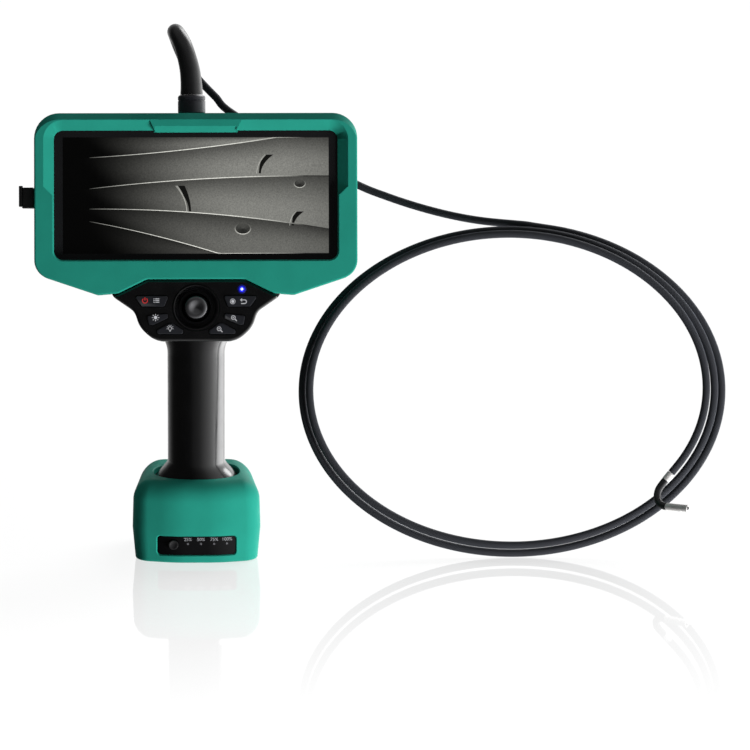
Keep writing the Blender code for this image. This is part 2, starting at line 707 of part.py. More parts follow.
def build_ports(guard, housing):
    outside = GUARD_HALF_WIDTH - PORT_RECESS
    block = mirrored([
        (PORT_HALF_LENGTH, -PORT_HALF_HEIGHT, LEAST_ROUND), (PORT_HALF_LENGTH, PORT_HALF_HEIGHT, LEAST_ROUND)
    ])
    # The side frame has its Z pointing out of the head's left side and its Y up the screen.
    side = (
        HEAD_FRAME
        @ Matrix.Translation((0.0, PORT_HEIGHT, -PORT_DEPTH))
        @ Matrix(((0, 0, -1, 0), (0, 1, 0, 0), (1, 0, 0, 0), (0, 0, 0, 1)))
    )
    plate("port_block", [block], outside - PORT_BLOCK_LENGTH, outside, BLACK_MATT, side)
    within = HOUSING_HALF_WIDTH - HOUSING_WALL - REACH
    hole = plate("port_cut", [offset(block, GAP)], within, GUARD_HALF_WIDTH + REACH, None, side)
    boolean(guard, hole)
    boolean(housing, hole)

    inner = -COVER_HINGE_OUT + GAP
    outer = COVER_THICK - COVER_HINGE_OUT - COVER_LIP_THICK
    knuckle = COVER_HINGE_OUT - GAP
    knuckle_round = knuckle - GAP / 4
    profile = [
        (inner, -knuckle, knuckle_round), (knuckle, -knuckle, knuckle_round), (knuckle, 0.0020, 0.0005),
        (outer, 0.0042, 0.0010), (outer, COVER_LENGTH, 0.0008), (inner, COVER_LENGTH, 0.0006),
    ]
    cover = plate("port_cover", [profile], -COVER_HALF_HEIGHT, COVER_HALF_HEIGHT, RUBBER, PORT_FRAME)
    lip_profile = [
        (outer - GAP, 0.0050, 0.0002), (outer + COVER_LIP_THICK, 0.0050, 0.0007),
        (outer + COVER_LIP_THICK, COVER_LENGTH + GAP, 0.0007), (outer - GAP, COVER_LENGTH + GAP, 0.0002),
    ]
    lip_low = -COVER_HALF_HEIGHT + COVER_LIP_RISE
    lip_high = COVER_HALF_HEIGHT + COVER_LIP_RISE
    lip = plate("cover_lip_join", [lip_profile], lip_low, lip_high, None, PORT_FRAME)
    boolean(cover, lip, "UNION")


def build_panel():
    panel = plate(
        "control_panel", [panel_corners()], PANEL_BACK, PANEL_FRONT, BLACK_GLOSS, HEAD_FRAME,
        high_round=PANEL_ROUND,
    )
    pocket = plate("panel_pocket_cut", [pocket_corners()], PANEL_BACK - REACH, POCKET_FLOOR, None, HEAD_FRAME)
    boolean(panel, pocket)
    crater = HEAD_FRAME @ Matrix.Translation((0.0, -JOYSTICK_DROP, 0.0))
    boolean(panel, rod("bezel_cut", BEZEL_RADIUS + GAP, PANEL_BACK - REACH, REACH, None, crater, 32))
    lamp_frame = crater @ Matrix.Translation((*LAMP_PLACE, 0.0))
    boolean(panel, rod("lamp_cut", LAMP_RADIUS + GAP, PANEL_BACK - REACH, REACH, None, lamp_frame, 12))
    rod("status_lens", LAMP_RADIUS, POCKET_FLOOR - GAP, PANEL_FRONT + GAP, BLUE, lamp_frame, 12)

    keypad = plate(
        "keypad_board", [offset(pocket_corners(), -GAP)], KEYPAD_BACK, KEYPAD_FRONT, BOARD_GREEN, HEAD_FRAME
    )
    boolean(keypad, rod("keypad_cut", BEZEL_RADIUS - BEZEL_LIP, -REACH * 2, REACH, None, crater, 32))
    keys = {
        "power": (TOP_KEY, -1), "back": (TOP_KEY, 1), "brightness": (MIDDLE_KEY, -1),
        "zoom_in": (MIDDLE_KEY, 1), "lamp": (LOWER_KEY, -1), "zoom_out": (LOWER_KEY, 1),
    }
    for use, (corners, side) in keys.items():
        ordered = corners if side > 0 else reversed(corners)
        outline = [(side * x, y - JOYSTICK_DROP, KEY_CORNER) for x, y in ordered]
        middle = sum((Vector(corner[:2]) for corner in outline), Vector((0.0, 0.0))) / len(outline)
        seat = (middle.x, middle.y, PANEL_FRONT)
        hole = plate(
            f"{use}_key_cut", [offset(outline, KEY_FIT)], PANEL_BACK - REACH, REACH, None, HEAD_FRAME
        )
        boolean(panel, hole)
        key = plate(
            f"key_{use}", [outline], KEY_BACK, PANEL_FRONT + KEY_PROUD, KEY_GREY, HEAD_FRAME, seat,
            high_round=KEY_ROUND,
        )
        flange = plate(
            f"{use}_flange_join", [offset(outline, KEY_FLANGE)], KEY_BACK, KEY_BACK + KEY_FLANGE_THICK,
            None, HEAD_FRAME,
        )
        boolean(key, flange, "UNION")
        dome_frame = HEAD_FRAME @ Matrix.Translation((middle.x, middle.y, 0.0))
        dome = rod(f"{use}_dome_join", DOME_RADIUS, KEYPAD_BACK + GAP, DOME_TOP, None, dome_frame, 10)
        boolean(keypad, dome, "UNION")


def build_joystick():
    mouth = HEAD_FRAME @ Matrix.Translation((0.0, -JOYSTICK_DROP, 0.0))
    rim = PANEL_FRONT + BEZEL_PROUD
    floor = POCKET_FLOOR
    bezel = [
        (BEZEL_RADIUS - BEZEL_LIP, rim), (BEZEL_RADIUS, rim - BEZEL_PROUD), (BEZEL_RADIUS, floor - BEZEL_LIP),
        (BEZEL_BORE, floor - BEZEL_LIP), (BEZEL_BORE, floor), (BEZEL_BORE + 0.0012, floor + 0.0003),
        (BEZEL_RADIUS - 2 * BEZEL_LIP, rim - BEZEL_PROUD),
    ]
    turned("joystick_bezel", bezel, BLACK_GLOSS, mouth, 32)
    pivot = HEAD_FRAME @ Matrix.Translation((0.0, -JOYSTICK_DROP, -JOYSTICK_PIVOT_DEPTH))

    neck_angle = math.asin(STICK_RADIUS / SKIRT_RADIUS)
    inner = SKIRT_RADIUS - SKIRT_THICK
    inner_angle = math.asin(STICK_RADIUS / inner)
    ball_angle = math.asin(STICK_RADIUS / BALL_RADIUS)
    stem_top = SKIRT_RADIUS + SKIRT_THICK
    stick = [(0.0, stem_top), (STICK_RADIUS, stem_top)]
    stick += arc(SKIRT_RADIUS, neck_angle, SKIRT_ANGLE, 5)
    stick += arc(inner, SKIRT_ANGLE, inner_angle, 4)
    stick += arc(BALL_RADIUS, ball_angle, math.pi, 5)
    stick[-1] = (0.0, -BALL_RADIUS)
    turned("joystick_stick", stick, STEEL, pivot, 18)
    low = stem_top + GAP
    top = low + CAP_HEIGHT
    cap = [
        (0.0, top - CAP_DISH), (CAP_RADIUS * 0.55, top - CAP_DISH * 0.75), (CAP_RADIUS * 0.85, top),
        (CAP_RADIUS, top - CAP_HEIGHT * 0.25), (CAP_RADIUS, top - CAP_HEIGHT * 0.55),
        (CAP_RADIUS * 0.55, low), (0.0, low),
    ]
    turned("joystick_cap", cap, BLACK_GLOSS, pivot, 24)
    half = GIMBAL_THICK / 2
    ring = [(GIMBAL_BORE, half), (GIMBAL_RADIUS, half), (GIMBAL_RADIUS, -half), (GIMBAL_BORE, -half)]
    turned("joystick_gimbal", ring, STEEL, pivot, 20)
    swing = half + GIMBAL_RADIUS * math.sin(JOYSTICK_TILT) + GAP
    square = rectangle(JOYSTICK_BASE_HALF, -JOYSTICK_BASE_HALF, JOYSTICK_BASE_HALF, 0.0010)
    plate("joystick_base", [square], -swing - JOYSTICK_BASE_DEEP, -swing, BLACK_MATT, pivot)


def grip_ring(half_width, half_depth, height):
    points = []
    for index in range(GRIP_SIDES):
        angle = 2 * math.pi * index / GRIP_SIDES
        across = math.copysign(abs(math.cos(angle)) ** (2 / GRIP_SQUARENESS), math.cos(angle))
        along = math.copysign(abs(math.sin(angle)) ** (2 / GRIP_SQUARENESS), math.sin(angle))
        points.append((half_width * across, GRIP_CENTRE_Y + half_depth * along, height))
    return points


def ease(share):
    share = min(max(share, 0.0), 1.0)
    return share * share * (3 - 2 * share)


def grip_top():
    """The height of the panel's foot, where the grip meets the head."""
    return (HEAD_FRAME @ Vector((0.0, -PANEL_FOOT, PANEL_FRONT))).z


def grip_rings(shrink, low, high):
    heights = [GRIP_FOOT - REACH, GRIP_FOOT + GRIP_FOOT_RIM]
    heights += [GRIP_FOOT + GRIP_FOOT_RIM + GRIP_FOOT_FLARE * share for share in (0.25, 0.5, 0.75, 1.0)]
    flare_foot = grip_top() - GRIP_TOP_FLARE
    heights += [flare_foot + GRIP_TOP_FLARE * share for share in (0.0, 0.35, 0.7, 1.0)]
    rings = []
    for height in [low] + [level for level in heights if low < level < high] + [high]:
        foot = ease((GRIP_FOOT + GRIP_FOOT_RIM + GRIP_FOOT_FLARE - height) / GRIP_FOOT_FLARE)
        top = ease((height - flare_foot) / GRIP_TOP_FLARE)
        half_width = GRIP_HALF_WIDTH + (GRIP_FOOT_HALF_WIDTH - GRIP_HALF_WIDTH) * foot
        half_width += (GRIP_TOP_HALF_WIDTH - GRIP_HALF_WIDTH) * top
        half_depth = GRIP_HALF_DEPTH + (GRIP_FOOT_HALF_DEPTH - GRIP_HALF_DEPTH) * foot
        rings.append(grip_ring(half_width - shrink, half_depth - shrink, height))
    return rings


def build_grip():
    top = grip_top() + REACH
    inside = lofted("grip_hollow_cut", grip_rings(GRIP_WALL, GRIP_FOOT - REACH, top + REACH))
    hollow = add("grip_hollow_cut", inside, None)
    far = GUARD_HALF_WIDTH
    head = plate(
        "grip_head_cut", [rectangle(far, -PANEL_FOOT - GAP, far, LEAST_ROUND)], -far, far, None, HEAD_FRAME
    )
    for name, sign in (("grip_front", -1), ("grip_rear", 1)):
        shell = add(name, lofted(name, grip_rings(0.0, GRIP_FOOT, top)), BLACK_GLOSS)
        near = GRIP_SPLIT_Y + sign * GAP / 2
        other_half = sorted((near, near - sign * far))
        half = plate(
            f"{name}_half_cut", [rectangle(far, *other_half, LEAST_ROUND)], 0.0, top + REACH, None
        )
        boolean(shell, hollow)
        boolean(shell, head)
        boolean(shell, half)


def boot_plan():
    return mirrored([
        (BOOT_FRONT_FLAT, -BOOT_FRONT, BOOT_FRONT_ROUND),
        (BOOT_HALF_WIDTH, -BOOT_FRONT + BOOT_FRONT_SAG, BOOT_CORNER),
        (BOOT_BACK_HALF, BOOT_BACK, BOOT_CORNER),
    ])


def boot_ring(inset, height):
    return at_height(offset(boot_plan(), -inset, BOOT_LEAST_CORNER), height)


def boot_rings(shrink, foot):
    """Rings of the base's outside, taken in by shrink, from the height foot up."""
    top = BOOT_HEIGHT - shrink
    rise = BOOT_HEIGHT - BOOT_SHOULDER
    rings = [boot_ring(BOOT_FOOT_INSET + shrink, foot), boot_ring(shrink, BOOT_BULGE_HEIGHT)]
    for step in range(SHOULDER_STEPS + 1):
        angle = math.pi / 2 * step / SHOULDER_STEPS
        inset = BOOT_FOOT_INSET / 2 + BOOT_SHOULDER_INSET * (1 - math.cos(angle))
        rings.append(boot_ring(inset + shrink, top - rise * (1 - math.sin(angle))))
    return rings


def oval(half_width, half_depth, height):
    return [Vector(point) for point in grip_ring(half_width, half_depth, height)]


def build_battery():
    edge = [boot_ring(BOOT_FOOT_INSET + BOOT_EDGE, 0.0)]
    boot = add("battery_boot", lofted("battery_boot", edge + boot_rings(0.0, BOOT_EDGE)), GREEN)
    boolean(boot, add("boot_hollow_cut", lofted("boot_hollow_cut", boot_rings(BOOT_WALL, -REACH)), None))
    well_mesh = lofted("well_cut", [
        oval(WELL_HALF_WIDTH, WELL_HALF_DEPTH, WELL_FLOOR),
        oval(WELL_HALF_WIDTH, WELL_HALF_DEPTH, BOOT_HEIGHT + REACH),
    ])
    well = add("well_cut", well_mesh, None)
    boolean(boot, well)

    case_foot = BASE_PLATE_THICK + GAP
    case = add("battery_case", lofted("battery_case", boot_rings(BOOT_SKIN, case_foot)), BLACK_MATT)
    boolean(case, well)
    tenon_front = GRIP_CENTRE_Y - TENON_HALF_DEPTH
    tenon_edge = rectangle(TENON_HALF_WIDTH, tenon_front, tenon_front + 2 * TENON_HALF_DEPTH, TENON_CORNER)
    socket_floor = WELL_FLOOR - TENON_LENGTH - GAP
    boolean(case, plate("socket_cut", [offset(tenon_edge, SLIDE_FIT)], socket_floor, BOOT_HEIGHT, None))
    flange_low = GRIP_FOOT + GAP
    flange_high = flange_low + TENON_FLANGE
    block = plate("terminal_block", [tenon_edge], WELL_FLOOR - TENON_LENGTH, flange_high, BLACK_MATT)
    shrink = GRIP_WALL + GAP
    flange_mesh = lofted("terminal_flange_join", [
        oval(GRIP_FOOT_HALF_WIDTH - shrink, GRIP_FOOT_HALF_DEPTH - shrink, flange_low),
        oval(GRIP_FOOT_HALF_WIDTH - shrink, GRIP_FOOT_HALF_DEPTH - shrink, flange_high),
    ])
    boolean(block, add("terminal_flange_join", flange_mesh, None), "UNION")

    pack_half = CELL_RADIUS * CELL_COUNT
    pack_foot = case_foot + GAP
    pack_edge = rectangle(pack_half, -CELL_RADIUS, CELL_RADIUS, CELL_RADIUS - LEAST_ROUND)
    lying = Matrix.Translation((0.0, 0.0, pack_foot + CELL_RADIUS)) @ Matrix.Rotation(math.pi / 2, 4, "X")
    board_room = GAUGE_BOARD_THICK + 2 * GAP
    pack_back = -CELL_LENGTH / 2
    plate("battery_cells", [pack_edge], pack_back, pack_back + CELL_LENGTH, KEY_GREY, lying)
    board_back = pack_back + CELL_LENGTH + GAP
    board_edge = rectangle(GAUGE_BOARD_HALF, -CELL_RADIUS, CELL_RADIUS, LEAST_ROUND)
    plate("gauge_board", [board_edge], board_back, board_back + GAUGE_BOARD_THICK, BOARD_GREEN, lying)
    room_top = CELL_RADIUS + CELL_ROOM
    room_edge = rectangle(pack_half + CELL_ROOM, -CELL_RADIUS - 2 * REACH, room_top, LEAST_ROUND)
    room_front = pack_back + CELL_LENGTH + board_room
    boolean(case, plate("cell_room_cut", [room_edge], pack_back - CELL_ROOM, room_front, None, lying))
    plate_edge = offset(boot_plan(), -BOOT_FOOT_INSET - BOOT_SKIN)
    plate("base_plate", [plate_edge], 0.0, BASE_PLATE_THICK, BLACK_MATT)
    build_gauge(boot, case)
    build_latch(boot, case)


def build_gauge(boot, case):
    edge = rectangle(GAUGE_HALF_WIDTH, -GAUGE_HALF_HEIGHT, GAUGE_HALF_HEIGHT, GAUGE_CORNER)
    back = -BOOT_WALL - BOOT_FRONT_SAG
    boolean(boot, plate("gauge_cut", [edge], back, REACH, None, GAUGE_FRAME))
    window = plate("gauge_window", [offset(edge, -GAP)], back, REACH, GLASS, GAUGE_FRAME)
    front = add("gauge_front_keep", lofted("gauge_front_keep", boot_rings(GAUGE_RECESS, -REACH)), None)
    behind = add("gauge_back_cut", lofted("gauge_back_cut", boot_rings(BOOT_WALL, -REACH)), None)
    boolean(window, front, "INTERSECT")
    boolean(window, behind)
    place = GAUGE_FRAME @ Matrix.Translation((GAUGE_BUTTON_X, GAUGE_BUTTON_RISE, 0.0))
    deep = BOOT_WALL + GAUGE_BUTTON_TRAVEL
    hole = rod("gauge_button_cut", GAUGE_BUTTON_RADIUS + KEY_FIT, -deep - 2 * GAP, REACH, None, place, 20)
    boolean(window, hole)
    boolean(case, hole)
    proud = GAUGE_BUTTON_PROUD - GAUGE_RECESS
    rod("gauge_button", GAUGE_BUTTON_RADIUS, GAP - BOOT_WALL, proud, KEY_GREY, place, 20)


def build_latch(boot, case):
    edge = rectangle(LATCH_HALF_WIDTH, -LATCH_HALF_HEIGHT, LATCH_HALF_HEIGHT, LATCH_CORNER)
    room = LATCH_DEEP + LATCH_TRAVEL + GAP
    hole = plate("latch_cut", [offset(edge, SLIDE_FIT)], -room, REACH, None, LATCH_FRAME)
    boolean(boot, hole)
    boolean(case, hole)
    plate("battery_latch", [edge], -LATCH_DEEP, LATCH_PROUD, BLACK_MATT, LATCH_FRAME, high_round=KEY_ROUND)


def smooth_route(points, spacing):
    """Points about spacing apart on a smooth curve through the given ones, and its length."""
    points = [Vector(point) for point in points]
    padded = [2 * points[0] - points[1]] + points + [2 * points[-1] - points[-2]]
    fine = []
    for a, b, c, d in zip(padded, padded[1:], padded[2:], padded[3:]):
        for step in range(20):
            t = step / 20
            square = (2 * a - 5 * b + 4 * c - d) * t**2
            cube = (3 * b - a - 3 * c + d) * t**3
            fine.append(0.5 * (2 * b + (c - a) * t + square + cube))
    fine.append(points[-1])
    return resampled(fine, spacing)


def resampled(points, spacing):
    lengths = [0.0]
    for before, after in zip(points, points[1:]):
        lengths.append(lengths[-1] + (after - before).length)
    count = max(2, round(lengths[-1] / spacing))
    spaced = []
    index = 0
    for step in range(count + 1):
        wanted = lengths[-1] * step / count
        while index < len(points) - 2 and lengths[index + 1] < wanted:
            index += 1
        share = (wanted - lengths[index]) / (lengths[index + 1] - lengths[index])
        spaced.append(points[index].lerp(points[index + 1], min(max(share, 0.0), 1.0)))
    return spaced


def coil_frame():
    """The coil's leaning plane: X to the right, Y up the lean, Z towards the viewer, from its middle."""
    leaning = Matrix.Rotation(math.pi / 2 - COIL_LEAN, 4, "X")
    foot = Vector((COIL_FOOT_X, COIL_FOOT_Y, PROBE_RADIUS + COIL_FLOOR_GAP))
    return Matrix.Translation(foot - leaning @ coil_point(COIL_LOWEST)) @ leaning


def coil_point(turn):
    """The tube's middle after this many turns clockwise from the top, in the coil's frame."""
    angle = 2 * math.pi * turn
    near_top = (0.5 + 0.5 * math.cos(angle)) ** 3
    inset = (COIL_PITCH - COIL_TOP_NEST * near_top) * turn
    across = (COIL_HALF_WIDTH - inset) * math.sin(angle)
    along = (COIL_HALF_HEIGHT - inset) * math.cos(angle)
    rise = COIL_END_RISE * ease((turn - COIL_TURNS + COIL_RISE_TURNS) / COIL_RISE_TURNS)
    return Vector((across, along, COIL_DEPTH_PITCH * turn + rise))


def coil_heading(turn):
    step = 1e-4
    return (coil_point(turn + step) - coil_point(turn - step)).normalized()


def least_gap(points):
    """The least room between one loop of the coil and another, from points along it."""
    fine = resampled(points, TUBE_DIAMETER / 4)
    apart = COIL_POINTS * TUBE_DIAMETER
    skip = round(apart / (TUBE_DIAMETER / 4))
    least = min(
        (first - second).length for index, first in enumerate(fine) for second in fine[index + skip :]
    )
    return least - TUBE_DIAMETER


def build_probe():
    collar = [
        (0.0, COLLAR_HEIGHT), (COLLAR_RADIUS - COLLAR_EDGE, COLLAR_HEIGHT),
        (COLLAR_RADIUS, COLLAR_HEIGHT - COLLAR_EDGE), (COLLAR_RADIUS, 0.0), (0.0, 0.0),
    ]
    turned("gland_collar", collar, ANODISED, GLAND_FRAME, 28)
    frame = coil_frame()
    start = frame @ coil_point(COIL_START)
    onward = (frame.to_3x3() @ coil_heading(COIL_START)).normalized()
    sleeve_foot = Vector((0.0, 0.0, COLLAR_HEIGHT + GAP))
    route = [GLAND_FRAME @ (sleeve_foot + Vector(point)) for point in SLEEVE_ROUTE]
    route += [Vector(point) for point in LEAD_ROUTE]
    lead_end = start - onward * (COIL_STUB + GAP)
    route += [lead_end - onward * (2 * COIL_STUB), lead_end - onward * COIL_STUB, lead_end]
    fine = smooth_route(route, TUBE_DIAMETER / 8)
    reach = 0.0
    split = 0
    while reach < SLEEVE_LENGTH:
        reach += (fine[split + 1] - fine[split]).length
        split += 1
    sleeve = resampled(fine[: split + 1], SLEEVE_STEP)
    share = [index / (len(sleeve) - 1) for index in range(len(sleeve))]
    radii = [SLEEVE_FOOT_RADIUS + (SLEEVE_TIP_RADIUS - SLEEVE_FOOT_RADIUS) * part**0.8 for part in share]
    tube("strain_relief", sleeve, SLEEVE_FOOT_RADIUS, RUBBER, 3, radii)
    leaving = (sleeve[-1] - sleeve[-2]).normalized()
    first = sleeve[-1] + leaving * GAP
    straight = first + leaving * COIL_STUB
    ahead = [point for point in fine[split:] if (point - first).length > 2 * COIL_STUB]
    lead = [first, straight] + resampled(ahead[: -round(COIL_STUB * 8 / TUBE_DIAMETER)], LEAD_STEP)
    lead += [lead_end - onward * COIL_STUB, lead_end]
    tube("insertion_tube_lead", lead, PROBE_RADIUS, BRAID, 2)

    wound = COIL_TURNS - COIL_START
    count = math.ceil(wound * COIL_POINTS)
    turns = [COIL_START + wound * index / count for index in range(count + 1)]
    loops = [frame @ coil_point(turn) for turn in turns]
    end_heading = (frame.to_3x3() @ coil_heading(COIL_TURNS)).normalized()
    loops = [start - onward * COIL_STUB] + loops + [loops[-1] + end_heading * COIL_STUB]
    tube("insertion_tube_coil", loops, PROBE_RADIUS, BRAID, 1)
    dense = 40 * count
    gap = least_gap([coil_point(COIL_START + wound * index / dense) for index in range(dense + 1)])
    print(f"least gap between loops of the coil: {gap * 1000:.2f} mm")
    whole = [sleeve, lead, loops]
    length = sum((b - a).length for piece in whole for a, b in zip(piece, piece[1:]))
    print(f"probe, from the collar to the ferrule: {length:.3f} m")
    build_neck(loops[-1] + end_heading * GAP, end_heading, frame.to_3x3() @ Vector((0.0, 0.0, 1.0)))


def heading_frame(place, heading, side):
    """A frame at place with its Z along heading and its X along side."""
    turn = Matrix((side, heading.cross(side), heading)).transposed()
    return Matrix.Translation(place) @ turn.to_4x4()


def arc(radius, start, end, steps, height=0.0):
    """Profile points (radius, height) on a circle about the axis, by angle from the top."""
    angles = [start + (end - start) * step / steps for step in range(steps + 1)]
    return [(radius * math.sin(angle), height + radius * math.cos(angle)) for angle in angles]


def ball_end(pivot):
    """The ball about a pivot at this height, and the waist behind it that lets the next cup swing."""
    last = math.pi - math.acos(LINK_WAIST / BALL_JOINT_RADIUS)
    ball = arc(BALL_JOINT_RADIUS, 0.0, last, 5, pivot)
    return ball + [(LINK_RADIUS, pivot - LINK_WAIST)]


def cup_end():
    """The cup that sits over the ball of the link before, its rim level with the pivot."""
    cup = arc(BALL_JOINT_RADIUS + CUP_FIT, math.pi / 2, 0.0, 4)
    cup[-1] = (0.0, cup[-1][1])
    return [(LINK_RADIUS, 0.0)] + cup


def build_neck(place, heading, outward):
    """The ferrule, the neck's links and the tip, each link turned by NECK_REST_BEND from the one before."""
    left = outward.cross(heading).normalized()
    towards = left * math.cos(NECK_ROLL) + outward * math.sin(NECK_ROLL)
    axis = heading.cross(towards).normalized()
    ferrule = ball_end(FERRULE_LENGTH) + [
        (LINK_RADIUS, FERRULE_BAND), (PROBE_RADIUS, FERRULE_BAND), (PROBE_RADIUS, 0.0), (0.0, 0.0),
    ]
    turned("neck_ferrule", ferrule, STEEL, heading_frame(place, heading, axis), 14)
    pivot = place + heading * FERRULE_LENGTH
    link = ball_end(LINK_PITCH) + cup_end()
    for number in range(1, LINK_COUNT + 1):
        heading = Matrix.Rotation(NECK_REST_BEND, 3, axis) @ heading
        turned(f"neck_link_{number}", link, RUBBER, heading_frame(pivot, heading, axis), 14)
        pivot = pivot + heading * LINK_PITCH
    heading = Matrix.Rotation(NECK_REST_BEND, 3, axis) @ heading
    frame = heading_frame(pivot, heading, axis)
    end = TIP_LENGTH
    shell = [(0.0, end), (TIP_RADIUS - TIP_EDGE, end), (TIP_RADIUS, end - TIP_EDGE)] + cup_end()
    tip = turned("tip_housing", shell, STEEL, frame, 20)
    seats = (("tip_lens", LENS_RADIUS, LENS_OFFSET), ("tip_lamp", LAMP_TIP_RADIUS, -LAMP_TIP_OFFSET))
    for name, radius, shift in seats:
        seat = frame @ Matrix.Translation((shift, 0.0, 0.0))
        fit = GAP / 3
        boolean(tip, rod(f"{name}_cut", radius + fit, end - LENS_DEEP - fit, end + REACH, None, seat, 14))
        rod(name, radius, end - LENS_DEEP, end - fit, GLASS, seat, 14)


build_head()
build_panel()
build_joystick()
build_grip()
build_battery()
build_probe()
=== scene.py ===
"""Looks of the handheld inspection camera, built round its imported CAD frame."""

import math

import bmesh
import bpy
from mathutils import Matrix, Quaternion, Vector


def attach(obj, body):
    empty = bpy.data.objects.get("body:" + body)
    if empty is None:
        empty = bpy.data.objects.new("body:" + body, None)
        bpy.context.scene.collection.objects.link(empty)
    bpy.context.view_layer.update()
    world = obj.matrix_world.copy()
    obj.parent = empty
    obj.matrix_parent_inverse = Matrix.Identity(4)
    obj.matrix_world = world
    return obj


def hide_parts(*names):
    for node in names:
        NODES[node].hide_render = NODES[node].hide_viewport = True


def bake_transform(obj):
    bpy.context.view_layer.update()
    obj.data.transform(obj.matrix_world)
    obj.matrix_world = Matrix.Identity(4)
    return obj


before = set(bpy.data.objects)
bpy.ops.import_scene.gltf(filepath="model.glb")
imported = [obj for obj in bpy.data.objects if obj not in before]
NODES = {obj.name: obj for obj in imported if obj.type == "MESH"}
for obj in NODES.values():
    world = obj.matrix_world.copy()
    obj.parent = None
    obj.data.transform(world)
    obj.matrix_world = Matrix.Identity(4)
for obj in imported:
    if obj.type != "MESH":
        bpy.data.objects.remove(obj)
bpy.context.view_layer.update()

QUARTER = math.pi / 2

# Sizes that several sub-parts share, in metres, repeated from the CAD source
GAP = 0.0003
REACH = 0.010
LEAST_ROUND = 0.0002
TILT = math.radians(12.0)
GUARD_HALF = 0.0808
GUARD_TOP = 0.0413
GUARD_LIP = 0.005
GLASS_FRONT = -GUARD_LIP - GAP
SPLIT = -0.0103
PANEL_FRONT = -0.003
PANEL_BACK = SPLIT + GAP
PANEL_FOOT = 0.0730
POCKET_FLOOR = PANEL_FRONT - 0.0024
JOYSTICK_DROP = 0.0560
JOYSTICK_DEPTH = 0.0095
PORT_Y = -0.0009
COLLAR_HEIGHT = 0.0091
BOOT_FRONT = 0.0335
BOOT_BACK = 0.0330
GAUGE_HEIGHT = 0.0090


# Frames of the sub-parts
def at(x, y, z):
    return Matrix.Translation((x, y, z))


def about_x(angle):
    return Matrix.Rotation(angle, 4, "X")


def axes(x, y, z):
    """The turn that lays a sub-part's own axes along these three."""
    return Matrix((x, y, z)).transposed().to_4x4()


WORLD = Matrix.Identity(4)
HEAD = at(0.0, -0.010, 0.1837) @ about_x(QUARTER - TILT)
ACROSS = HEAD @ axes((0, 1, 0), (0, 0, 1), (1, 0, 0))
STICK = HEAD @ at(0.0, -JOYSTICK_DROP, 0.0)
PIVOT = STICK @ at(0.0, 0.0, -JOYSTICK_DEPTH)
STATUS_LAMP = STICK @ at(0.0229, 0.0092, 0.0)
GLAND = HEAD @ at(-0.0020, GUARD_TOP + GAP, -0.0170) @ about_x(-QUARTER)
SOCKET = HEAD @ at(0.0, PORT_Y, -0.0158) @ axes((0, 0, 1), (0, 1, 0), (-1, 0, 0))
COVER_HINGE = HEAD @ at(-GUARD_HALF - 0.0015, PORT_Y, -0.0222) @ axes((-1, 0, 0), (0, 0, 1), (0, 1, 0))
GAUGE = at(0.0, -BOOT_FRONT, GAUGE_HEIGHT) @ about_x(QUARTER)
GAUGE_PUSH = GAUGE @ at(-0.0116, 0.0006, 0.0)
LATCH = at(0.0, BOOT_BACK, 0.0270) @ Matrix.Rotation(math.pi, 4, "Z") @ about_x(QUARTER)


def placed(name, data):
    """A new object of the scene."""
    made = bpy.data.objects.new(name, data)
    bpy.context.scene.collection.objects.link(made)
    return made


# Camera
PHOTO_HALF = 375
PHOTO_FOCUS = 8000
CAMERA_TARGET = Vector((0.0894, -0.0287, 0.0957))
CAMERA_DISTANCE = 4.0
CAMERA_ROLL = math.radians(0.15)


def place_camera():
    """A far camera in front of the handset, looking down by the tilt of its screen."""
    away = CAMERA_DISTANCE * math.cos(TILT)
    up = CAMERA_DISTANCE * math.sin(TILT)
    stand = Vector((0.0, CAMERA_TARGET.y - away, CAMERA_TARGET.z + up))
    camera = placed("camera", bpy.data.cameras.new("camera"))
    camera.data.sensor_fit = "HORIZONTAL"
    camera.data.angle = 2 * math.atan(PHOTO_HALF / PHOTO_FOCUS)
    camera.location = stand
    level_view = (CAMERA_TARGET - stand).to_track_quat("-Z", "Y")
    camera.rotation_euler = (level_view @ Quaternion((0.0, 0.0, 1.0), CAMERA_ROLL)).to_euler()
    bpy.context.scene.camera = camera
    bpy.context.scene.view_settings.view_transform = "Standard"


# Shader nodes
def put(tree, socket, value):
    """Gives an input its value, or a link where the value is another node's output."""
    if isinstance(value, bpy.types.NodeSocket):
        tree.links.new(value, socket)
    else:
        socket.default_value = value


def give(tree, made, *values, **settings):
    """Fills a node's inputs in order, then by name. A name in small letters is an option of the node."""
    for socket, value in zip(made.inputs, values):
        put(tree, socket, value)
    for key, value in settings.items():
        if key[0].islower():
            setattr(made, key, value)
        else:
            put(tree, made.inputs[key.replace("_", " ")], value)
    return made


def node(tree, kind, *values, **settings):
    return give(tree, tree.nodes.new("ShaderNode" + kind), *values, **settings)


def maths(tree, operation, first, second=0.0):
    return node(tree, "Math", first, second, operation=operation).outputs["Value"]


def ranged(tree, source, *limits):
    """A value carried over from one range to another, each given as low and high."""
    return node(tree, "MapRange", source, *limits).outputs["Result"]


def noise(tree, scale, detail, stretch=(1.0, 1.0, 1.0), **settings):
    place = node(tree, "Mapping", node(tree, "TexCoord").outputs["Object"], Scale=stretch)
    made = node(tree, "TexNoise", Vector=place.outputs["Vector"], Scale=scale, Detail=detail, **settings)
    return made.outputs["Fac"]


def ramp(tree, source, stops):
    made = node(tree, "ValToRGB", source)
    stops = list(stops)
    elements = made.color_ramp.elements
    while len(elements) < len(stops):
        elements.new(0.5)
    for element, (position, colour) in zip(elements, stops):
        element.position = position
        element.color = (*colour, 1.0)
    return made.outputs["Color"]


# Places of the colours among a mixing node's inputs and outputs
MIX_INPUTS = (6, 7)
MIX_OUTPUT = 2


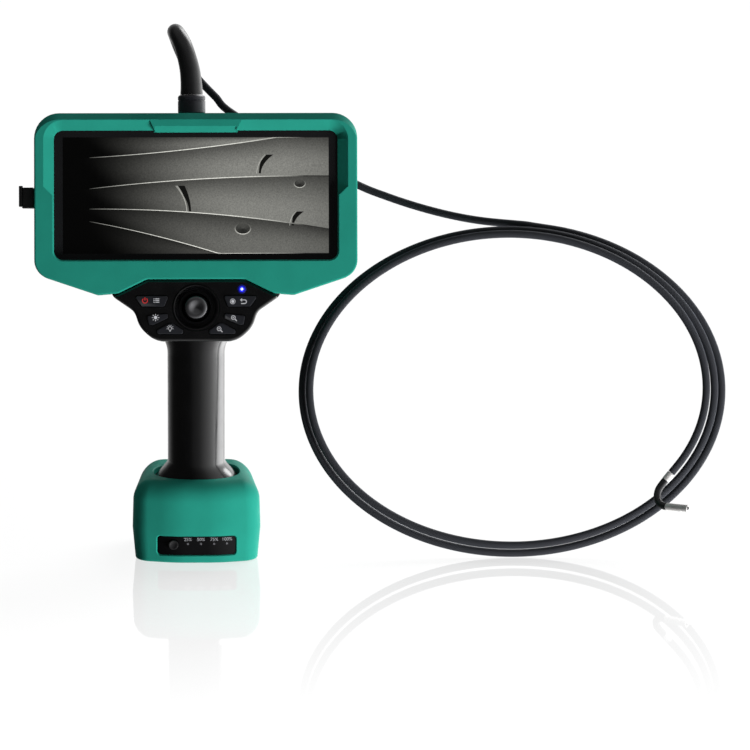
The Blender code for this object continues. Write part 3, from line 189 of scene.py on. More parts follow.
def mixed(tree, share, first, second, blend="MIX"):
    made = node(tree, "Mix", data_type="RGBA", blend_type=blend, Factor=share)
    for place, colour in zip(MIX_INPUTS, (first, second)):
        put(tree, made.inputs[place], colour)
    return made.outputs[MIX_OUTPUT]


def bumped(tree, shader, height, strength, distance):
    bump = node(tree, "Bump", Strength=strength, Distance=distance, Height=height)
    give(tree, shader, Normal=bump.outputs["Normal"])


def new_material(name):
    made = bpy.data.materials.new(name)
    made.use_nodes = True
    tree = made.node_tree
    return made, tree, tree.nodes["Principled BSDF"]


# Materials
NOISE_SPAN = (0.3, 0.7)
CLOUD_STOPS = (0.32, 0.68)
EDGE_STOPS = (0.53, 0.62)
WORN_TONE = 0.6
WORN_SHARE = 0.25


def surface(
    name, colour, rough, metallic=0.0, blotch=60.0, spread=0.12, rough_spread=0.06, grain=2500.0,
    bump=0.15, depth=0.00004, stretch=(1.0, 1.0, 1.0), wear=0.0, specular=0.5,
):
    """A moulded or machined finish: uneven colour and gloss, fine grain, and paler worn edges."""
    made, tree, shader = new_material(name)
    dark = [channel * (1.0 - spread) for channel in colour]
    light = [min(channel * (1.0 + spread), 1.0) for channel in colour]
    tint = ramp(tree, noise(tree, blotch, 4.0, stretch), zip(CLOUD_STOPS, (dark, light)))
    if wear:
        sharp = node(tree, "NewGeometry").outputs["Pointiness"]
        share = ramp(tree, sharp, zip(EDGE_STOPS, ((0.0,) * 3, (wear,) * 3)))
        worn = [channel + (WORN_TONE - channel) * WORN_SHARE for channel in colour]
        tint = mixed(tree, share, tint, (*worn, 1.0))
    uneven = noise(tree, blotch * 5, 3.0, stretch)
    gloss = ranged(tree, uneven, *NOISE_SPAN, rough - rough_spread, rough + rough_spread)
    give(tree, shader, Base_Color=tint, Roughness=gloss, Metallic=metallic, Specular_IOR_Level=specular)
    bumped(tree, shader, noise(tree, grain, 2.0, stretch), bump, depth)
    return made


def srgb(*values):
    """A colour in values from 0 to 255, as linear light."""
    linear = []
    for value in values:
        value = value / 255
        linear.append(value / 12.92 if value <= 0.04045 else ((value + 0.055) / 1.055) ** 2.4)
    return tuple(linear)


GREEN = surface("green_moulding", srgb(39, 146, 128), 0.55, grain=3200.0, bump=0.22, depth=0.00005,
                spread=0.05, specular=0.05)
GLOSS = surface("polished_black", (0.0015, 0.0015, 0.0018), 0.22, blotch=30.0, rough_spread=0.05, grain=700.0,
                bump=0.05, depth=0.00002, specular=0.7)
MATT = surface("textured_black", (0.014, 0.014, 0.015), 0.52, grain=4200.0, bump=0.35, depth=0.00006,
               wear=0.3)
RUBBER = surface("black_rubber", (0.007, 0.007, 0.008), 0.45, grain=1800.0, bump=0.12)
SLEEVE = surface("sleeve_rubber", (0.012, 0.012, 0.013), 0.32, grain=1800.0, bump=0.12)
KNOB = surface("polished_knob", (0.10, 0.10, 0.105), 0.20, 0.7, blotch=30.0, rough_spread=0.03, grain=700.0,
               bump=0.03, depth=0.00002)
KEY = surface("grey_key", srgb(32, 33, 37), 0.52, grain=3800.0, bump=0.2, depth=0.00003, wear=0.3,
              specular=0.2)
STEEL = surface("brushed_steel", (0.72, 0.71, 0.70), 0.46, 0.6, blotch=300.0, grain=2600.0, bump=0.18,
                depth=0.00003, stretch=(1.0, 6.0, 1.0), spread=0.08)
COLLAR = surface("dark_anodised", srgb(50, 50, 57), 0.40, 0.15, blotch=160.0, grain=2200.0, bump=0.1,
                 depth=0.00002, stretch=(1.0, 1.0, 8.0))
CIRCUIT = surface("solder_mask", (0.010, 0.080, 0.035), 0.45, blotch=220.0, spread=0.35, grain=900.0)
CELL = surface("cell_sleeve", (0.030, 0.031, 0.033), 0.35, blotch=90.0, grain=600.0)
DARK_GLASS = surface("dark_glass", (0.003, 0.003, 0.0035), 0.08, blotch=25.0, rough_spread=0.02, grain=300.0,
                     bump=0.01, depth=0.00001, specular=0.2)
SCREEN_GLASS = surface("screen_glass", (0.0105, 0.0105, 0.0115), 0.10, blotch=25.0, rough_spread=0.02,
                       grain=300.0, bump=0.01, depth=0.00001)

BRAID_STRANDS = 12
BRAID_PITCH = 0.0011


def braid():
    """Two families of strands crossing round the tube, in its own length and round coordinates."""
    made, tree, shader = new_material("braided_sheath")
    place = node(tree, "SeparateXYZ", node(tree, "UVMap", uv_map="along").outputs["UV"]).outputs
    around = maths(tree, "MULTIPLY", place["X"], BRAID_STRANDS * 2 * math.pi)
    along = maths(tree, "MULTIPLY", place["Y"], 2 * math.pi / BRAID_PITCH)
    strands = [maths(tree, "SINE", maths(tree, crossing, around, along)) for crossing in ("ADD", "SUBTRACT")]
    height = maths(tree, "ADD", maths(tree, "MULTIPLY", maths(tree, "MAXIMUM", *strands), 0.5), 0.5)
    # The colour darkens where the strands dip, as painted shade between them.
    give(
        tree, shader, Roughness=ranged(tree, height, *NOISE_SPAN, 0.70, 0.60), Specular_IOR_Level=0.12,
        Base_Color=ramp(tree, height, [(0.35, (0.012, 0.0125, 0.014)), (0.9, (0.036, 0.038, 0.044))]),
        Sheen_Weight=0.14, Sheen_Roughness=0.4, Sheen_Tint=(0.55, 0.62, 0.85, 1.0),
    )
    bumped(tree, shader, height, 0.35, 0.00012)
    return made


def glowing(name, colour, strength, rough=0.3):
    """Print or a lamp: a faintly speckled colour with some light of its own, which on print is painted light.
    """
    made, tree, shader = new_material(name)
    dimmer = [channel * 0.8 for channel in colour]
    tint = ramp(tree, noise(tree, 900.0, 2.0), zip(NOISE_SPAN, (dimmer, colour)))
    give(tree, shader, Base_Color=tint, Emission_Color=tint, Emission_Strength=strength, Roughness=rough)
    return made


BRAID = braid()
# The pale, red and label prints glow a little: painted light, since print is no lamp.
PRINT = glowing("pale_print", (0.62, 0.63, 0.66), 0.08, 0.5)
RED_PRINT = glowing("red_print", (0.60, 0.03, 0.03), 0.25, 0.5)
LABEL_PRINT = glowing("label_print", (0.36, 0.37, 0.39), 0.06, 0.5)
DIM_PRINT = glowing("dim_print", (0.11, 0.11, 0.12), 0.02, 0.5)
BLUE_GLOW = glowing("blue_lamp", (0.02, 0.03, 1.0), 0.26)
BLUE_HAZE = glowing("blue_haze", (0.004, 0.006, 0.22), 0.08)
WHITE_GLOW = glowing("lamp_heart", (0.66, 0.76, 1.0), 1.0)


def picture_look():
    made, tree, shader = new_material("display_picture")
    shade = node(tree, "Attribute", attribute_name="shade").outputs["Color"]
    speck = ramp(tree, noise(tree, 1500.0, 8.0, Roughness=0.8), [
        (0.25, (0.30, 0.30, 0.29)), (0.50, (0.65, 0.65, 0.63)), (0.75, (1.0, 1.0, 0.95)),
    ])
    give(
        tree, shader, Emission_Color=mixed(tree, 1.0, shade, speck, "MULTIPLY"), Emission_Strength=1.5,
        Base_Color=(0.001, 0.001, 0.001, 1.0), Roughness=0.08, Specular_IOR_Level=0.25,
    )
    return made


# Numbers and outlines
DOME_ANGLE = 1.2


def shares(count):
    """Even steps from 0 to 1."""
    return [index / count for index in range(count + 1)]


def ease(share):
    share = min(max(share, 0.0), 1.0)
    return share * share * (3 - 2 * share)


def full_turn(count):
    return [2 * math.pi * index / count for index in range(count)]


def mirrored(right):
    left = [(-x, y, *rest) for x, y, *rest in reversed(right)]
    return list(right) + left


def rectangle(half_width, low, high, corner=LEAST_ROUND):
    return mirrored([(half_width, low, corner), (half_width, high, corner)])


def offset(corners, distance, least=LEAST_ROUND):
    """The outline (x, y, radius), listed anticlockwise, moved outwards by distance."""
    moved = []
    for index, (x, y, radius) in enumerate(corners):
        before = (Vector((x, y)) - Vector(corners[index - 1][:2])).normalized()
        after = (Vector(corners[(index + 1) % len(corners)][:2]) - Vector((x, y))).normalized()
        normal_before = Vector((before.y, -before.x))
        normal_after = Vector((after.y, -after.x))
        shift = (normal_before + normal_after) * (distance / (1.0 + normal_before.dot(normal_after)))
        turns_left = before.x * after.y - before.y * after.x > 0.0
        rounder = radius + distance if turns_left else radius - distance
        moved.append((x + shift.x, y + shift.y, max(rounder, least)))
    return moved


def rounded(corners, steps):
    points = []
    for index, (x, y, radius) in enumerate(corners):
        corner = Vector((x, y))
        to_before = (Vector(corners[index - 1][:2]) - corner).normalized()
        to_after = (Vector(corners[(index + 1) % len(corners)][:2]) - corner).normalized()
        half_angle = to_before.angle(to_after) / 2
        centre = corner + (to_before + to_after).normalized() * (radius / math.sin(half_angle))
        start = corner + to_before * (radius / math.tan(half_angle)) - centre
        end = corner + to_after * (radius / math.tan(half_angle)) - centre
        sweep = start.angle_signed(end)
        for step in range(steps + 1):
            points.append(centre + Matrix.Rotation(-sweep * step / steps, 2) @ start)
    return points


def level(corners, height, steps=10):
    return [Vector((point.x, point.y, height)) for point in rounded(corners, steps)]


def arc_line(x, y, radius, start, end, count=24):
    """Points on an arc between two angles in degrees, anticlockwise from the right."""
    angles = [math.radians(start + (end - start) * share) for share in shares(count)]
    return [(x + radius * math.cos(angle), y + radius * math.sin(angle)) for angle in angles]


def dome(radius, foot, rise, count):
    """The profile of a low dome from its middle to its rim."""
    angles = [DOME_ANGLE * share for share in shares(count)] + [QUARTER]
    return [(radius * math.sin(angle), foot + rise * math.cos(angle)) for angle in angles]


# Meshes
def piece(name, mesh, frame_of=WORLD, look=None):
    """An object at the origin, with its place in its mesh, as the CAD nodes have."""
    mesh.transform(frame_of)
    if look is not None:
        mesh.materials.append(look)
    return placed(name, mesh)


def solid(name, shape, frame_of=WORLD, look=None):
    mesh = bpy.data.meshes.new(name)
    shape.to_mesh(mesh)
    shape.free()
    return piece(name, mesh, frame_of, look)


def bridged(shape, rings, closed=False):
    """Faces between each ring of points and the next, and over both ends where the rings don't close."""
    rows = [[shape.verts.new(point) for point in ring] for ring in rings]
    pairs = list(zip(rows, rows[1:]))
    if closed:
        pairs.append((rows[-1], rows[0]))
    for lower, upper in pairs:
        for index in range(len(lower)):
            after = (index + 1) % len(lower)
            shape.faces.new((lower[index], lower[after], upper[after], upper[index]))
    if not closed:
        shape.faces.new(list(reversed(rows[0])))
        shape.faces.new(rows[-1])


def lofted(name, rings, frame_of=WORLD, look=None):
    """A closed body through rings of equally many points, listed upwards."""
    shape = bmesh.new()
    bridged(shape, rings)
    return solid(name, shape, frame_of, look)


def stacked(
    name, corners, low, high, frame_of=WORLD, look=None, low_round=0.0, high_round=0.0, steps=10, turns=6,
):
    """A slab of the outline between two heights, with its edges rounded."""
    quarter = [QUARTER * share for share in shares(turns)]
    rings = []
    for angle in quarter if low_round else quarter[-1:]:
        rings.append((low_round * (1 - math.sin(angle)), low + low_round * (1 - math.cos(angle))))
    for angle in quarter if high_round else quarter[:1]:
        rings.append((high_round * (1 - math.cos(angle)), high - high_round * (1 - math.sin(angle))))
    levels = [level(offset(corners, -inset) if inset else corners, height, steps) for inset, height in rings]
    return lofted(name, levels, frame_of, look)


def turned(name, profile, frame_of, look=None, steps=64):
    """A solid of revolution about Z from (radius, height) points listed from the top down."""
    shape = bmesh.new()
    rows = []
    for radius, height in profile:
        angles = full_turn(steps if radius else 1)
        rows.append([shape.verts.new((radius * math.cos(a), radius * math.sin(a), height)) for a in angles])
    pairs = list(zip(rows, rows[1:]))
    if profile[0][0]:
        pairs.append((rows[-1], rows[0]))
    for upper, lower in pairs:
        for step in range(steps):
            after = (step + 1) % steps
            corners = (upper[step % len(upper)], lower[step % len(lower)], lower[after % len(lower)],
                       upper[after % len(upper)])
            shape.faces.new(list(dict.fromkeys(corners)))
    return solid(name, shape, frame_of, look)


def cut(target, other, operation="DIFFERENCE"):
    """Applies a Boolean at once and removes the other body, so that only the finished mesh stays."""
    step = target.modifiers.new("cut", "BOOLEAN")
    step.operation = operation
    step.solver = "EXACT"
    step.object = other
    bpy.context.view_layer.update()
    graph = bpy.context.evaluated_depsgraph_get()
    mesh = bpy.data.meshes.new_from_object(target.evaluated_get(graph))
    target.modifiers.clear()
    target.data = mesh
    bpy.data.objects.remove(other, do_unlink=True)


def carve(target, corners, low, high, frame_of=WORLD, steps=10):
    """Cuts away a slab of the outline."""
    cut(target, stacked("slab", corners, low, high, frame_of, steps=steps))


def drill(target, radius, low, high, frame_of, steps=48):
    profile = [(0.0, high), (radius, high), (radius, low), (0.0, low)]
    cut(target, turned("drill", profile, frame_of, None, steps))


def shaded(obj, angle):
    """Smooth shading, with sharp edges past an angle in degrees."""
    for face in obj.data.polygons:
        face.use_smooth = True
    obj.data.set_sharp_from_angle(angle=math.radians(angle))
    weigh = obj.modifiers.new("even shading", "WEIGHTED_NORMAL")
    weigh.keep_sharp = True


def settle(obj, body, slot, *nodes, angle=32.0):
    """Shades a finished piece, sets it on its body and lets it stand for CAD nodes."""
    shaded(obj, angle)
    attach(obj, body)
    if nodes:
        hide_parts(*nodes)


def joined(name, objects):
    """One piece from several meshes that keep their own materials."""
    shape = bmesh.new()
    looks = []
    for obj in objects:
        first = len(shape.faces)
        shape.from_mesh(obj.data)
        shape.faces.ensure_lookup_table()
        own = list(obj.data.materials)
        looks += [look for look in own if look not in looks]
        for face in shape.faces[first:]:
            face.material_index = looks.index(own[face.material_index])
        bpy.data.objects.remove(obj, do_unlink=True)
    made = solid(name, shape)
    for look in looks:
        made.data.materials.append(look)
    return made


# Lines and tubes
def distances(points):
    """How far along a line each of its points lies."""
    lengths = [0.0]
    for before, after in zip(points, points[1:]):
        lengths.append(lengths[-1] + (after - before).length)
    return lengths


def smooth_route(points, count=20):
    """A line through all the points with no kink at any of them."""
    points = [Vector(point) for point in points]
    padded = [2 * points[0] - points[1]] + points + [2 * points[-1] - points[-2]]
    fine = []
    for a, b, c, d in zip(padded, padded[1:], padded[2:], padded[3:]):
        for t in shares(count)[:-1]:
            square = (2 * a - 5 * b + 4 * c - d) * t**2
            cube = (3 * b - a - 3 * c + d) * t**3
            fine.append(0.5 * (2 * b + (c - a) * t + square + cube))
    fine.append(points[-1])
    return fine


def resampled(points, spacing):
    lengths = distances(points)
    spaced = []
    index = 0
    for share in shares(max(2, round(lengths[-1] / spacing))):
        wanted = lengths[-1] * share
        while index < len(points) - 2 and lengths[index + 1] < wanted:
            index += 1
        part = (wanted - lengths[index]) / (lengths[index + 1] - lengths[index])
        spaced.append(points[index].lerp(points[index + 1], min(max(part, 0.0), 1.0)))
    return spaced


def piped(name, points, radii, look, sides):
    """A tube along points, with a UV layer of turns round it and metres along it."""
    shape = bmesh.new()
    layer = shape.loops.layers.uv.new("along")
    across = (points[1] - points[0]).normalized().orthogonal().normalized()
    rings = []
    for index, point in enumerate(points):
        heading = (points[min(index + 1, len(points) - 1)] - points[max(index - 1, 0)]).normalized()
        across = (across - heading * across.dot(heading)).normalized()
        other = heading.cross(across)
        rings.append([
            point + (across * math.cos(a) + other * math.sin(a)) * radii[index] for a in full_turn(sides)
        ])
    bridged(shape, rings)
    lengths = distances(points)
    for index, face in enumerate(list(shape.faces)[:-2]):
        row, side = divmod(index, sides)
        places = ((side, row), (side + 1, row), (side + 1, row + 1), (side, row + 1))
        for loop, (turn, step) in zip(face.loops, places):
            loop[layer].uv = (turn / sides, lengths[step])
    return solid(name, shape, WORLD, look)


def stroke(points, width, look, low, high):
    """A raised line of the given width through flat points in millimetres of the head's plane."""
    points = [Vector(point) / 1000 for point in points]
    closed = (points[0] - points[-1]).length < 1e-7
    if closed:
        points = points[:-1]
    count = len(points)
    rings = []
    for index, point in enumerate(points):
        before = points[index - 1] if closed or index else point
        after = points[(index + 1) % count] if closed or index < count - 1 else point
        heading = (after - before).normalized()
        side = Vector((-heading.y, heading.x)) * (width / 2000)
        left, right = point + side, point - side
        rings.append([(*left, low), (*right, low), (*right, high), (*left, high)])
    shape = bmesh.new()
    bridged(shape, rings, closed)
    bmesh.ops.recalc_face_normals(shape, faces=shape.faces)
    return solid("mark", shape, HEAD, look)


# Probe: its route repeats the CAD source, apart from the snug, which presses the middle turn outwards
PROBE_RADIUS = 0.00195
SLEEVE_ROUTE = (
    (0.0, 0.0, 0.0), (-0.0002, 0.0, 0.0060), (-0.0012, 0.0003, 0.0140), (-0.0040, 0.0024, 0.0242),
    (-0.0069, 0.0075, 0.0302), (-0.0082, 0.0160, 0.0322), (-0.0076, 0.0245, 0.0300),
    (-0.0054, 0.0303, 0.0238), (-0.0018, 0.0324, 0.0158), (0.0045, 0.0332, 0.0078),
    (0.0122, 0.0334, -0.0002), (0.0200, 0.0334, -0.0080),
)
LEAD_ROUTE = (
    (0.0512, 0.0470, 0.1951), (0.0806, 0.0445, 0.1794), (0.0968, 0.0415, 0.1732),
    (0.1130, 0.0375, 0.1685), (0.1292, 0.0328, 0.1651), (0.1453, 0.0280, 0.1631),
)
SLEEVE_LENGTH = 0.074
SLEEVE_RADII = (0.0057, 0.0031)
SLEEVE_TAPER = 0.8
COIL_LEAN = math.radians(14.6)
COIL_FOOT = Vector((0.1582, -0.0208, PROBE_RADIUS + 0.0002))
COIL_HALF = (0.1079, 0.0838)
COIL_PITCH = 0.0044
COIL_NEST = 0.0019
COIL_LAY = 0.0040
COIL_START = 0.030
COIL_TURNS = 2.3375
COIL_RISE = 0.0030
COIL_RISE_TURNS = 0.14
COIL_SNUG = 0.0006
COIL_SNUG_FROM = 0.9
COIL_STUB = 0.0042
ROUTE_SPACING = 0.0005
SLEEVE_SPACING = 0.0012
CABLE_SPACING = 0.0019


def coil_point(turn):
    """The tube's middle after this many turns clockwise from the top, in the coil's leaning plane."""
    angle = 2 * math.pi * turn
    near_top = (0.5 + 0.5 * math.cos(angle)) ** 3
    middle = max(turn - COIL_SNUG_FROM, 0.0) / (COIL_TURNS - COIL_SNUG_FROM)
    inset = (COIL_PITCH - COIL_NEST * near_top) * turn - COIL_SNUG * math.sin(math.pi * middle) ** 2
    rise = COIL_RISE * ease((turn - COIL_TURNS + COIL_RISE_TURNS) / COIL_RISE_TURNS)
    half_width, half_height = COIL_HALF
    across = (half_width - inset) * math.sin(angle)
    upward = (half_height - inset) * math.cos(angle)
    return Vector((across, upward, COIL_LAY * turn + rise))


LEANING = about_x(QUARTER - COIL_LEAN)
COIL = Matrix.Translation(COIL_FOOT - LEANING @ coil_point(0.5)) @ LEANING


def coil_heading(turn):
    return (COIL.to_3x3() @ (coil_point(turn + 1e-4) - coil_point(turn - 1e-4))).normalized()


def build_probe():
    start = COIL @ coil_point(COIL_START)
    onward = coil_heading(COIL_START)
    foot = Vector((0.0, 0.0, COLLAR_HEIGHT + GAP))
    lead_end = start - onward * (COIL_STUB + GAP)
    route = [GLAND @ (foot + Vector(point)) for point in SLEEVE_ROUTE]
    route += [Vector(point) for point in LEAD_ROUTE]
    route += [lead_end - onward * (2 * COIL_STUB), lead_end - onward * COIL_STUB, lead_end]
    fine = resampled(smooth_route(route), ROUTE_SPACING)
    split = round(SLEEVE_LENGTH / distances(fine)[-1] * (len(fine) - 1))
    build_sleeve(resampled(fine[: split + 1], SLEEVE_SPACING))

    wound = COIL_TURNS - COIL_START
    loops = [COIL @ coil_point(COIL_START + wound * share) for share in shares(400)]
    heading = coil_heading(COIL_TURNS)
    line = resampled(fine[split:] + loops + [loops[-1] + heading * COIL_STUB], CABLE_SPACING)
    cable = piped("probe_cable", line, [PROBE_RADIUS] * len(line), BRAID, 18)
    settle(cable, "handset", "probe_braid", "insertion_tube_lead", "insertion_tube_coil", angle=60.0)
    on_cable = build_neck(line[-1] + heading * GAP, heading, COIL.to_3x3() @ Vector((0.0, 0.0, 1.0)))


def build_sleeve(line):
    wide, narrow = SLEEVE_RADII
    radii = [wide + (narrow - wide) * share**SLEEVE_TAPER for share in shares(len(line) - 1)]
    relief = piped("strain_relief_sleeve", line, radii, SLEEVE, 40)
    settle(relief, "handset", "rubber", "strain_relief", angle=50.0)


# Bending neck and tip
NECK_JOINTS = 5
NECK_START = 0.0090
NECK_BEND = math.radians(23.0)
NECK_ROLL = math.radians(42.5)
LINK_PITCH = 0.0034
LINK_RADIUS = 0.00185
SKIN_START = 0.0044
SKIN_END = 0.0016
BAND = (
    (0.0, 0.0046), (0.00160, 0.0046), (0.00195, 0.00435), (0.00195, 0.0036), (0.00186, 0.0035),
    (0.00186, 0.0033), (0.00195, 0.0032), (0.00195, 0.00025), (0.00170, 0.0), (0.0, 0.0),
)
TIP_END = 0.0150
TIP = (
    (0.0, TIP_END), (0.00150, TIP_END), (0.00168, TIP_END - 0.00008), (0.00180, TIP_END - 0.0002),
    (0.00185, TIP_END - 0.0004), (0.00185, 0.0112), (0.00178, 0.0111), (0.00178, 0.0109), (0.00185, 0.0108),
    (0.00185, 0.0018), (0.00170, 0.0016), (0.0, 0.0016),
)


def framed(place, heading, side):
    return Matrix.Translation(place) @ axes(side, heading.cross(side), heading)


def build_neck(place, heading, outward):
    """The silver band, the rubber-skinned bending neck and the metal tip, as the CAD pieces lie."""
    left = outward.cross(heading).normalized()
    towards = left * math.cos(NECK_ROLL) + outward * math.sin(NECK_ROLL)
    axis = heading.cross(towards).normalized()
    band = turned("probe_band", BAND, framed(place, heading, axis), STEEL, 40)
    settle(band, "handset", "steel", "neck_ferrule")
    made = [band]
    pivot = place + heading * NECK_START
    for joint in range(NECK_JOINTS):
        last = joint == NECK_JOINTS - 1
        onward = Matrix.Rotation(NECK_BEND, 3, axis) @ heading
        begin = pivot - heading * (LINK_PITCH / 2 if joint else SKIN_START)
        finish = pivot + onward * (SKIN_END if last else LINK_PITCH / 2)
        path = [begin * (1 - s) ** 2 + pivot * (2 * s * (1 - s)) + finish * s**2 for s in shares(16)]
        skin = piped(f"neck_skin_{joint + 1}", path, [LINK_RADIUS] * len(path), RUBBER, 24)
        shaded(skin, 60.0)
        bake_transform(skin)
        if last:
            return made + [skin] + build_tip(framed(pivot, onward, axis))
        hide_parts(f"neck_link_{joint + 1}")
        made.append(skin)
        heading = onward
        pivot = pivot + heading * LINK_PITCH


def build_tip(tip_frame):
    shell = turned("tip_shell", TIP, tip_frame, STEEL, 48)
    made = [shell]
    for name, radius, shift, look in (
        ("tip_lens", 0.0009, 0.0005, DARK_GLASS), ("tip_lamp", 0.00035, -0.0011, WHITE_GLOW),
    ):
        seat = tip_frame @ at(shift, 0.0, 0.0)
        drill(shell, radius + 0.0001, TIP_END - 0.0009, TIP_END + REACH, seat, 32)
        profile = dome(radius, TIP_END - 0.0004, 0.00025, 3)
        profile += [(radius, TIP_END - 0.0008), (0.0, TIP_END - 0.0008)]
        eye = turned(f"{name}_dome", profile, seat, look, 32)
        settle(eye, "tip", "dark_glass", name, angle=50.0)
        made.append(eye)
    settle(shell, "tip", "steel", "tip_housing")
    return made


# Guard
GUARD_DEPTH = 0.026
GUARD_ROUNDS = (0.0016, 0.0009)
GUARD_EDGE = mirrored([
    (0.0245, -0.0418, 0.004), (0.0390, -0.0489, 0.004), (0.0492, -0.0497, 0.004),
    (GUARD_HALF, -0.0391, 0.0095), (GUARD_HALF, GUARD_TOP, 0.0125),
])
WINDOW_HALF = 0.0710
WINDOW_TOP = 0.0326
WINDOW = rectangle(WINDOW_HALF, -0.0322, WINDOW_TOP, 0.0045)
FLARE_WIDTH = 0.0052
FLARE_DEPTH = 0.0042
FLARE_FOOT = -0.0006
FLARE_RISE = 0.0051 / FLARE_WIDTH
BRIDGE_HALF = 0.0205
BRIDGE_LEAN = 0.0025 / FLARE_WIDTH
BRIDGE_WEDGE = (
    (WINDOW_TOP - 0.0041, -0.0048, LEAST_ROUND), (WINDOW_TOP + 0.0114, 0.0072, LEAST_ROUND),
    (WINDOW_TOP - 0.0041, 0.0072, LEAST_ROUND),
)
# How far the narrow slope grows past the window at a height, and how far the bevel drops at one
WINDOW_SLOPE = ((-0.0010, -0.0017), (0.0107, 0.0100))
CROWN_BEVEL = ((0.0, -0.0034), (0.0004, -0.0028), (0.0030, -0.0004), (0.0036, 0.0001), (0.0036, REACH))
HOUSING_BACK = -0.032
HOUSING_WALL = 0.0025
PANEL_SHOULDER = [(0.0390, -0.04935, 0.0030), (0.0245, -0.04225, 0.0040)]


def neck_side(wing_round):
    """The right side of the head's neck, from the grip up to its wing."""
    return [
        (0.0205, -PANEL_FOOT, 0.0130), (0.0282, -0.0660, 0.0140), (0.0308, -0.0580, 0.0080),
        (0.0425, -0.04995, wing_round),
    ]


HOUSING_EDGE = mirrored(neck_side(0.0055) + [
    (0.0425, -0.0382, 0.0030), (0.0762, -0.0372, 0.0095), (0.0762, 0.0376, 0.0095),
])
PORT_EDGE = rectangle(0.0036, -0.0050, 0.0050)
PORT_FACE = GUARD_HALF - 0.0005
PORT_BACK = PORT_FACE - 0.0160


def carve_port(target):
    carve(target, offset(PORT_EDGE, GAP), PORT_BACK - GAP, GUARD_HALF + REACH, SOCKET, 2)


def build_guard():
    guard = stacked("guard_shell", GUARD_EDGE, -GUARD_DEPTH, 0.0, HEAD, GREEN, *GUARD_ROUNDS, turns=5)
    # A bevel along the top, which dies away round the corners
    wide = offset(GUARD_EDGE, 0.0002)
    crown = [level(wide, -2 * GUARD_DEPTH)]
    for drop, height in CROWN_BEVEL:
        crown.append(level([(x, y - drop, radius) for x, y, radius in wide], height))
    cut(guard, lofted("crown", crown, HEAD), "INTERSECT")
    for sign in (1, -1):
        cut(guard, flare(sign))
    # A narrow slope all round the window, and a broad one under the bridge between the flares
    narrow = [level(offset(WINDOW, grow), height) for grow, height in WINDOW_SLOPE]
    cut(guard, lofted("slope", narrow, HEAD))
    carve(guard, BRIDGE_WEDGE, 0.0001 - BRIDGE_HALF, BRIDGE_HALF - 0.0001, ACROSS, 1)
    opening = stacked("opening", WINDOW, -GUARD_DEPTH - REACH, REACH, HEAD)
    tongue = rectangle(BRIDGE_HALF + 0.0004, WINDOW_TOP - 0.0010, WINDOW_TOP + REACH)
    carve(opening, tongue, -2 * GUARD_DEPTH, 2 * REACH, HEAD, 1)
    cut(guard, opening)
    carve(guard, offset(HOUSING_EDGE, GAP), -GUARD_DEPTH - REACH, -GUARD_LIP, HEAD)
    carve_port(guard)
    settle(guard, "handset", "green_plastic", "guard_frame")


def flare(sign):
    """The body that splays one side of the window's rim, up to the bridge and down to the lower corner."""
    splay = FLARE_WIDTH / FLARE_DEPTH
    made = lofted("flare", [
        level(offset(WINDOW, -GAP * splay), -FLARE_DEPTH - GAP),
        level(offset(WINDOW, (FLARE_DEPTH + REACH) * splay), REACH),
    ], HEAD)
    near_x = WINDOW_HALF - REACH
    near_y = WINDOW_TOP - REACH
    far_x = GUARD_HALF + REACH
    far_y = GUARD_TOP + REACH
    mask = [
        (near_x, FLARE_FOOT - REACH * FLARE_RISE), (far_x, FLARE_FOOT + (far_x - WINDOW_HALF) * FLARE_RISE),
        (far_x, far_y), (BRIDGE_HALF + (far_y - WINDOW_TOP) * BRIDGE_LEAN, far_y),
        (BRIDGE_HALF - REACH * BRIDGE_LEAN, near_y), (near_x, near_y),
    ][::sign]
    corners = [(sign * x, y, LEAST_ROUND) for x, y in mask]
    cut(made, stacked("mask", corners, -GUARD_DEPTH, 2 * REACH, HEAD, steps=2), "INTERSECT")
    return made


# Rear housing
SPINE = rectangle(0.0192, -PANEL_FOOT, 0.024, 0.009)
SPINE_BACK = -0.044
BACK_ROUND = 0.0045
SCREWS = [(x, y, HOUSING_BACK) for y in (0.028, -0.0275) for x in (-0.066, 0.066)]
SCREWS += [(0.0, y, SPINE_BACK) for y in (0.0125, -0.0625)]
SCREW_HEAD = (
    (0.0, -0.0002), (0.0019, -0.0002), (0.0025, -0.0004), (0.0028, -0.0008), (0.0028, -0.0013),
    (0.0, -0.0013),
)
COUNTERBORE_RADIUS = 0.0033
COUNTERBORE_DEPTH = 0.0014
DRIVE_RADIUS = 0.0013
DRIVE_DEPTH = 0.0010


def build_housing():
    foot = SPLIT - HOUSING_WALL
    shell = stacked("housing_shell", HOUSING_EDGE, HOUSING_BACK, SPLIT, HEAD, MATT, BACK_ROUND, turns=8)
    spine = stacked("spine", offset(SPINE, -GAP), SPINE_BACK, foot, HEAD, None, BACK_ROUND, turns=8)
    cut(shell, spine, "UNION")
    carve(shell, offset(HOUSING_EDGE, -HOUSING_WALL), HOUSING_BACK + HOUSING_WALL, REACH, HEAD)
    carve(shell, offset(SPINE, -GAP - HOUSING_WALL), SPINE_BACK + HOUSING_WALL, foot, HEAD)
    carve_port(shell)
    screws = []
    for place in SCREWS:
        seat = HEAD @ at(*place) @ about_x(math.pi)
        drill(shell, COUNTERBORE_RADIUS, -COUNTERBORE_DEPTH, REACH, seat)
        head = turned("screw", SCREW_HEAD, seat, STEEL, 32)
        drill(head, DRIVE_RADIUS, -DRIVE_DEPTH, REACH, seat, 6)
        screws.append(head)
    settle(shell, "handset", "black_matte", "rear_housing")
    settle(joined("housing_screws", screws), "handset", "steel")


# Display: its picture is a duct with swept guide plates, drawn from formulas
PICTURE_HALF = 0.0665
PICTURE_LOW = -0.0290
PICTURE_HIGH = 0.0292
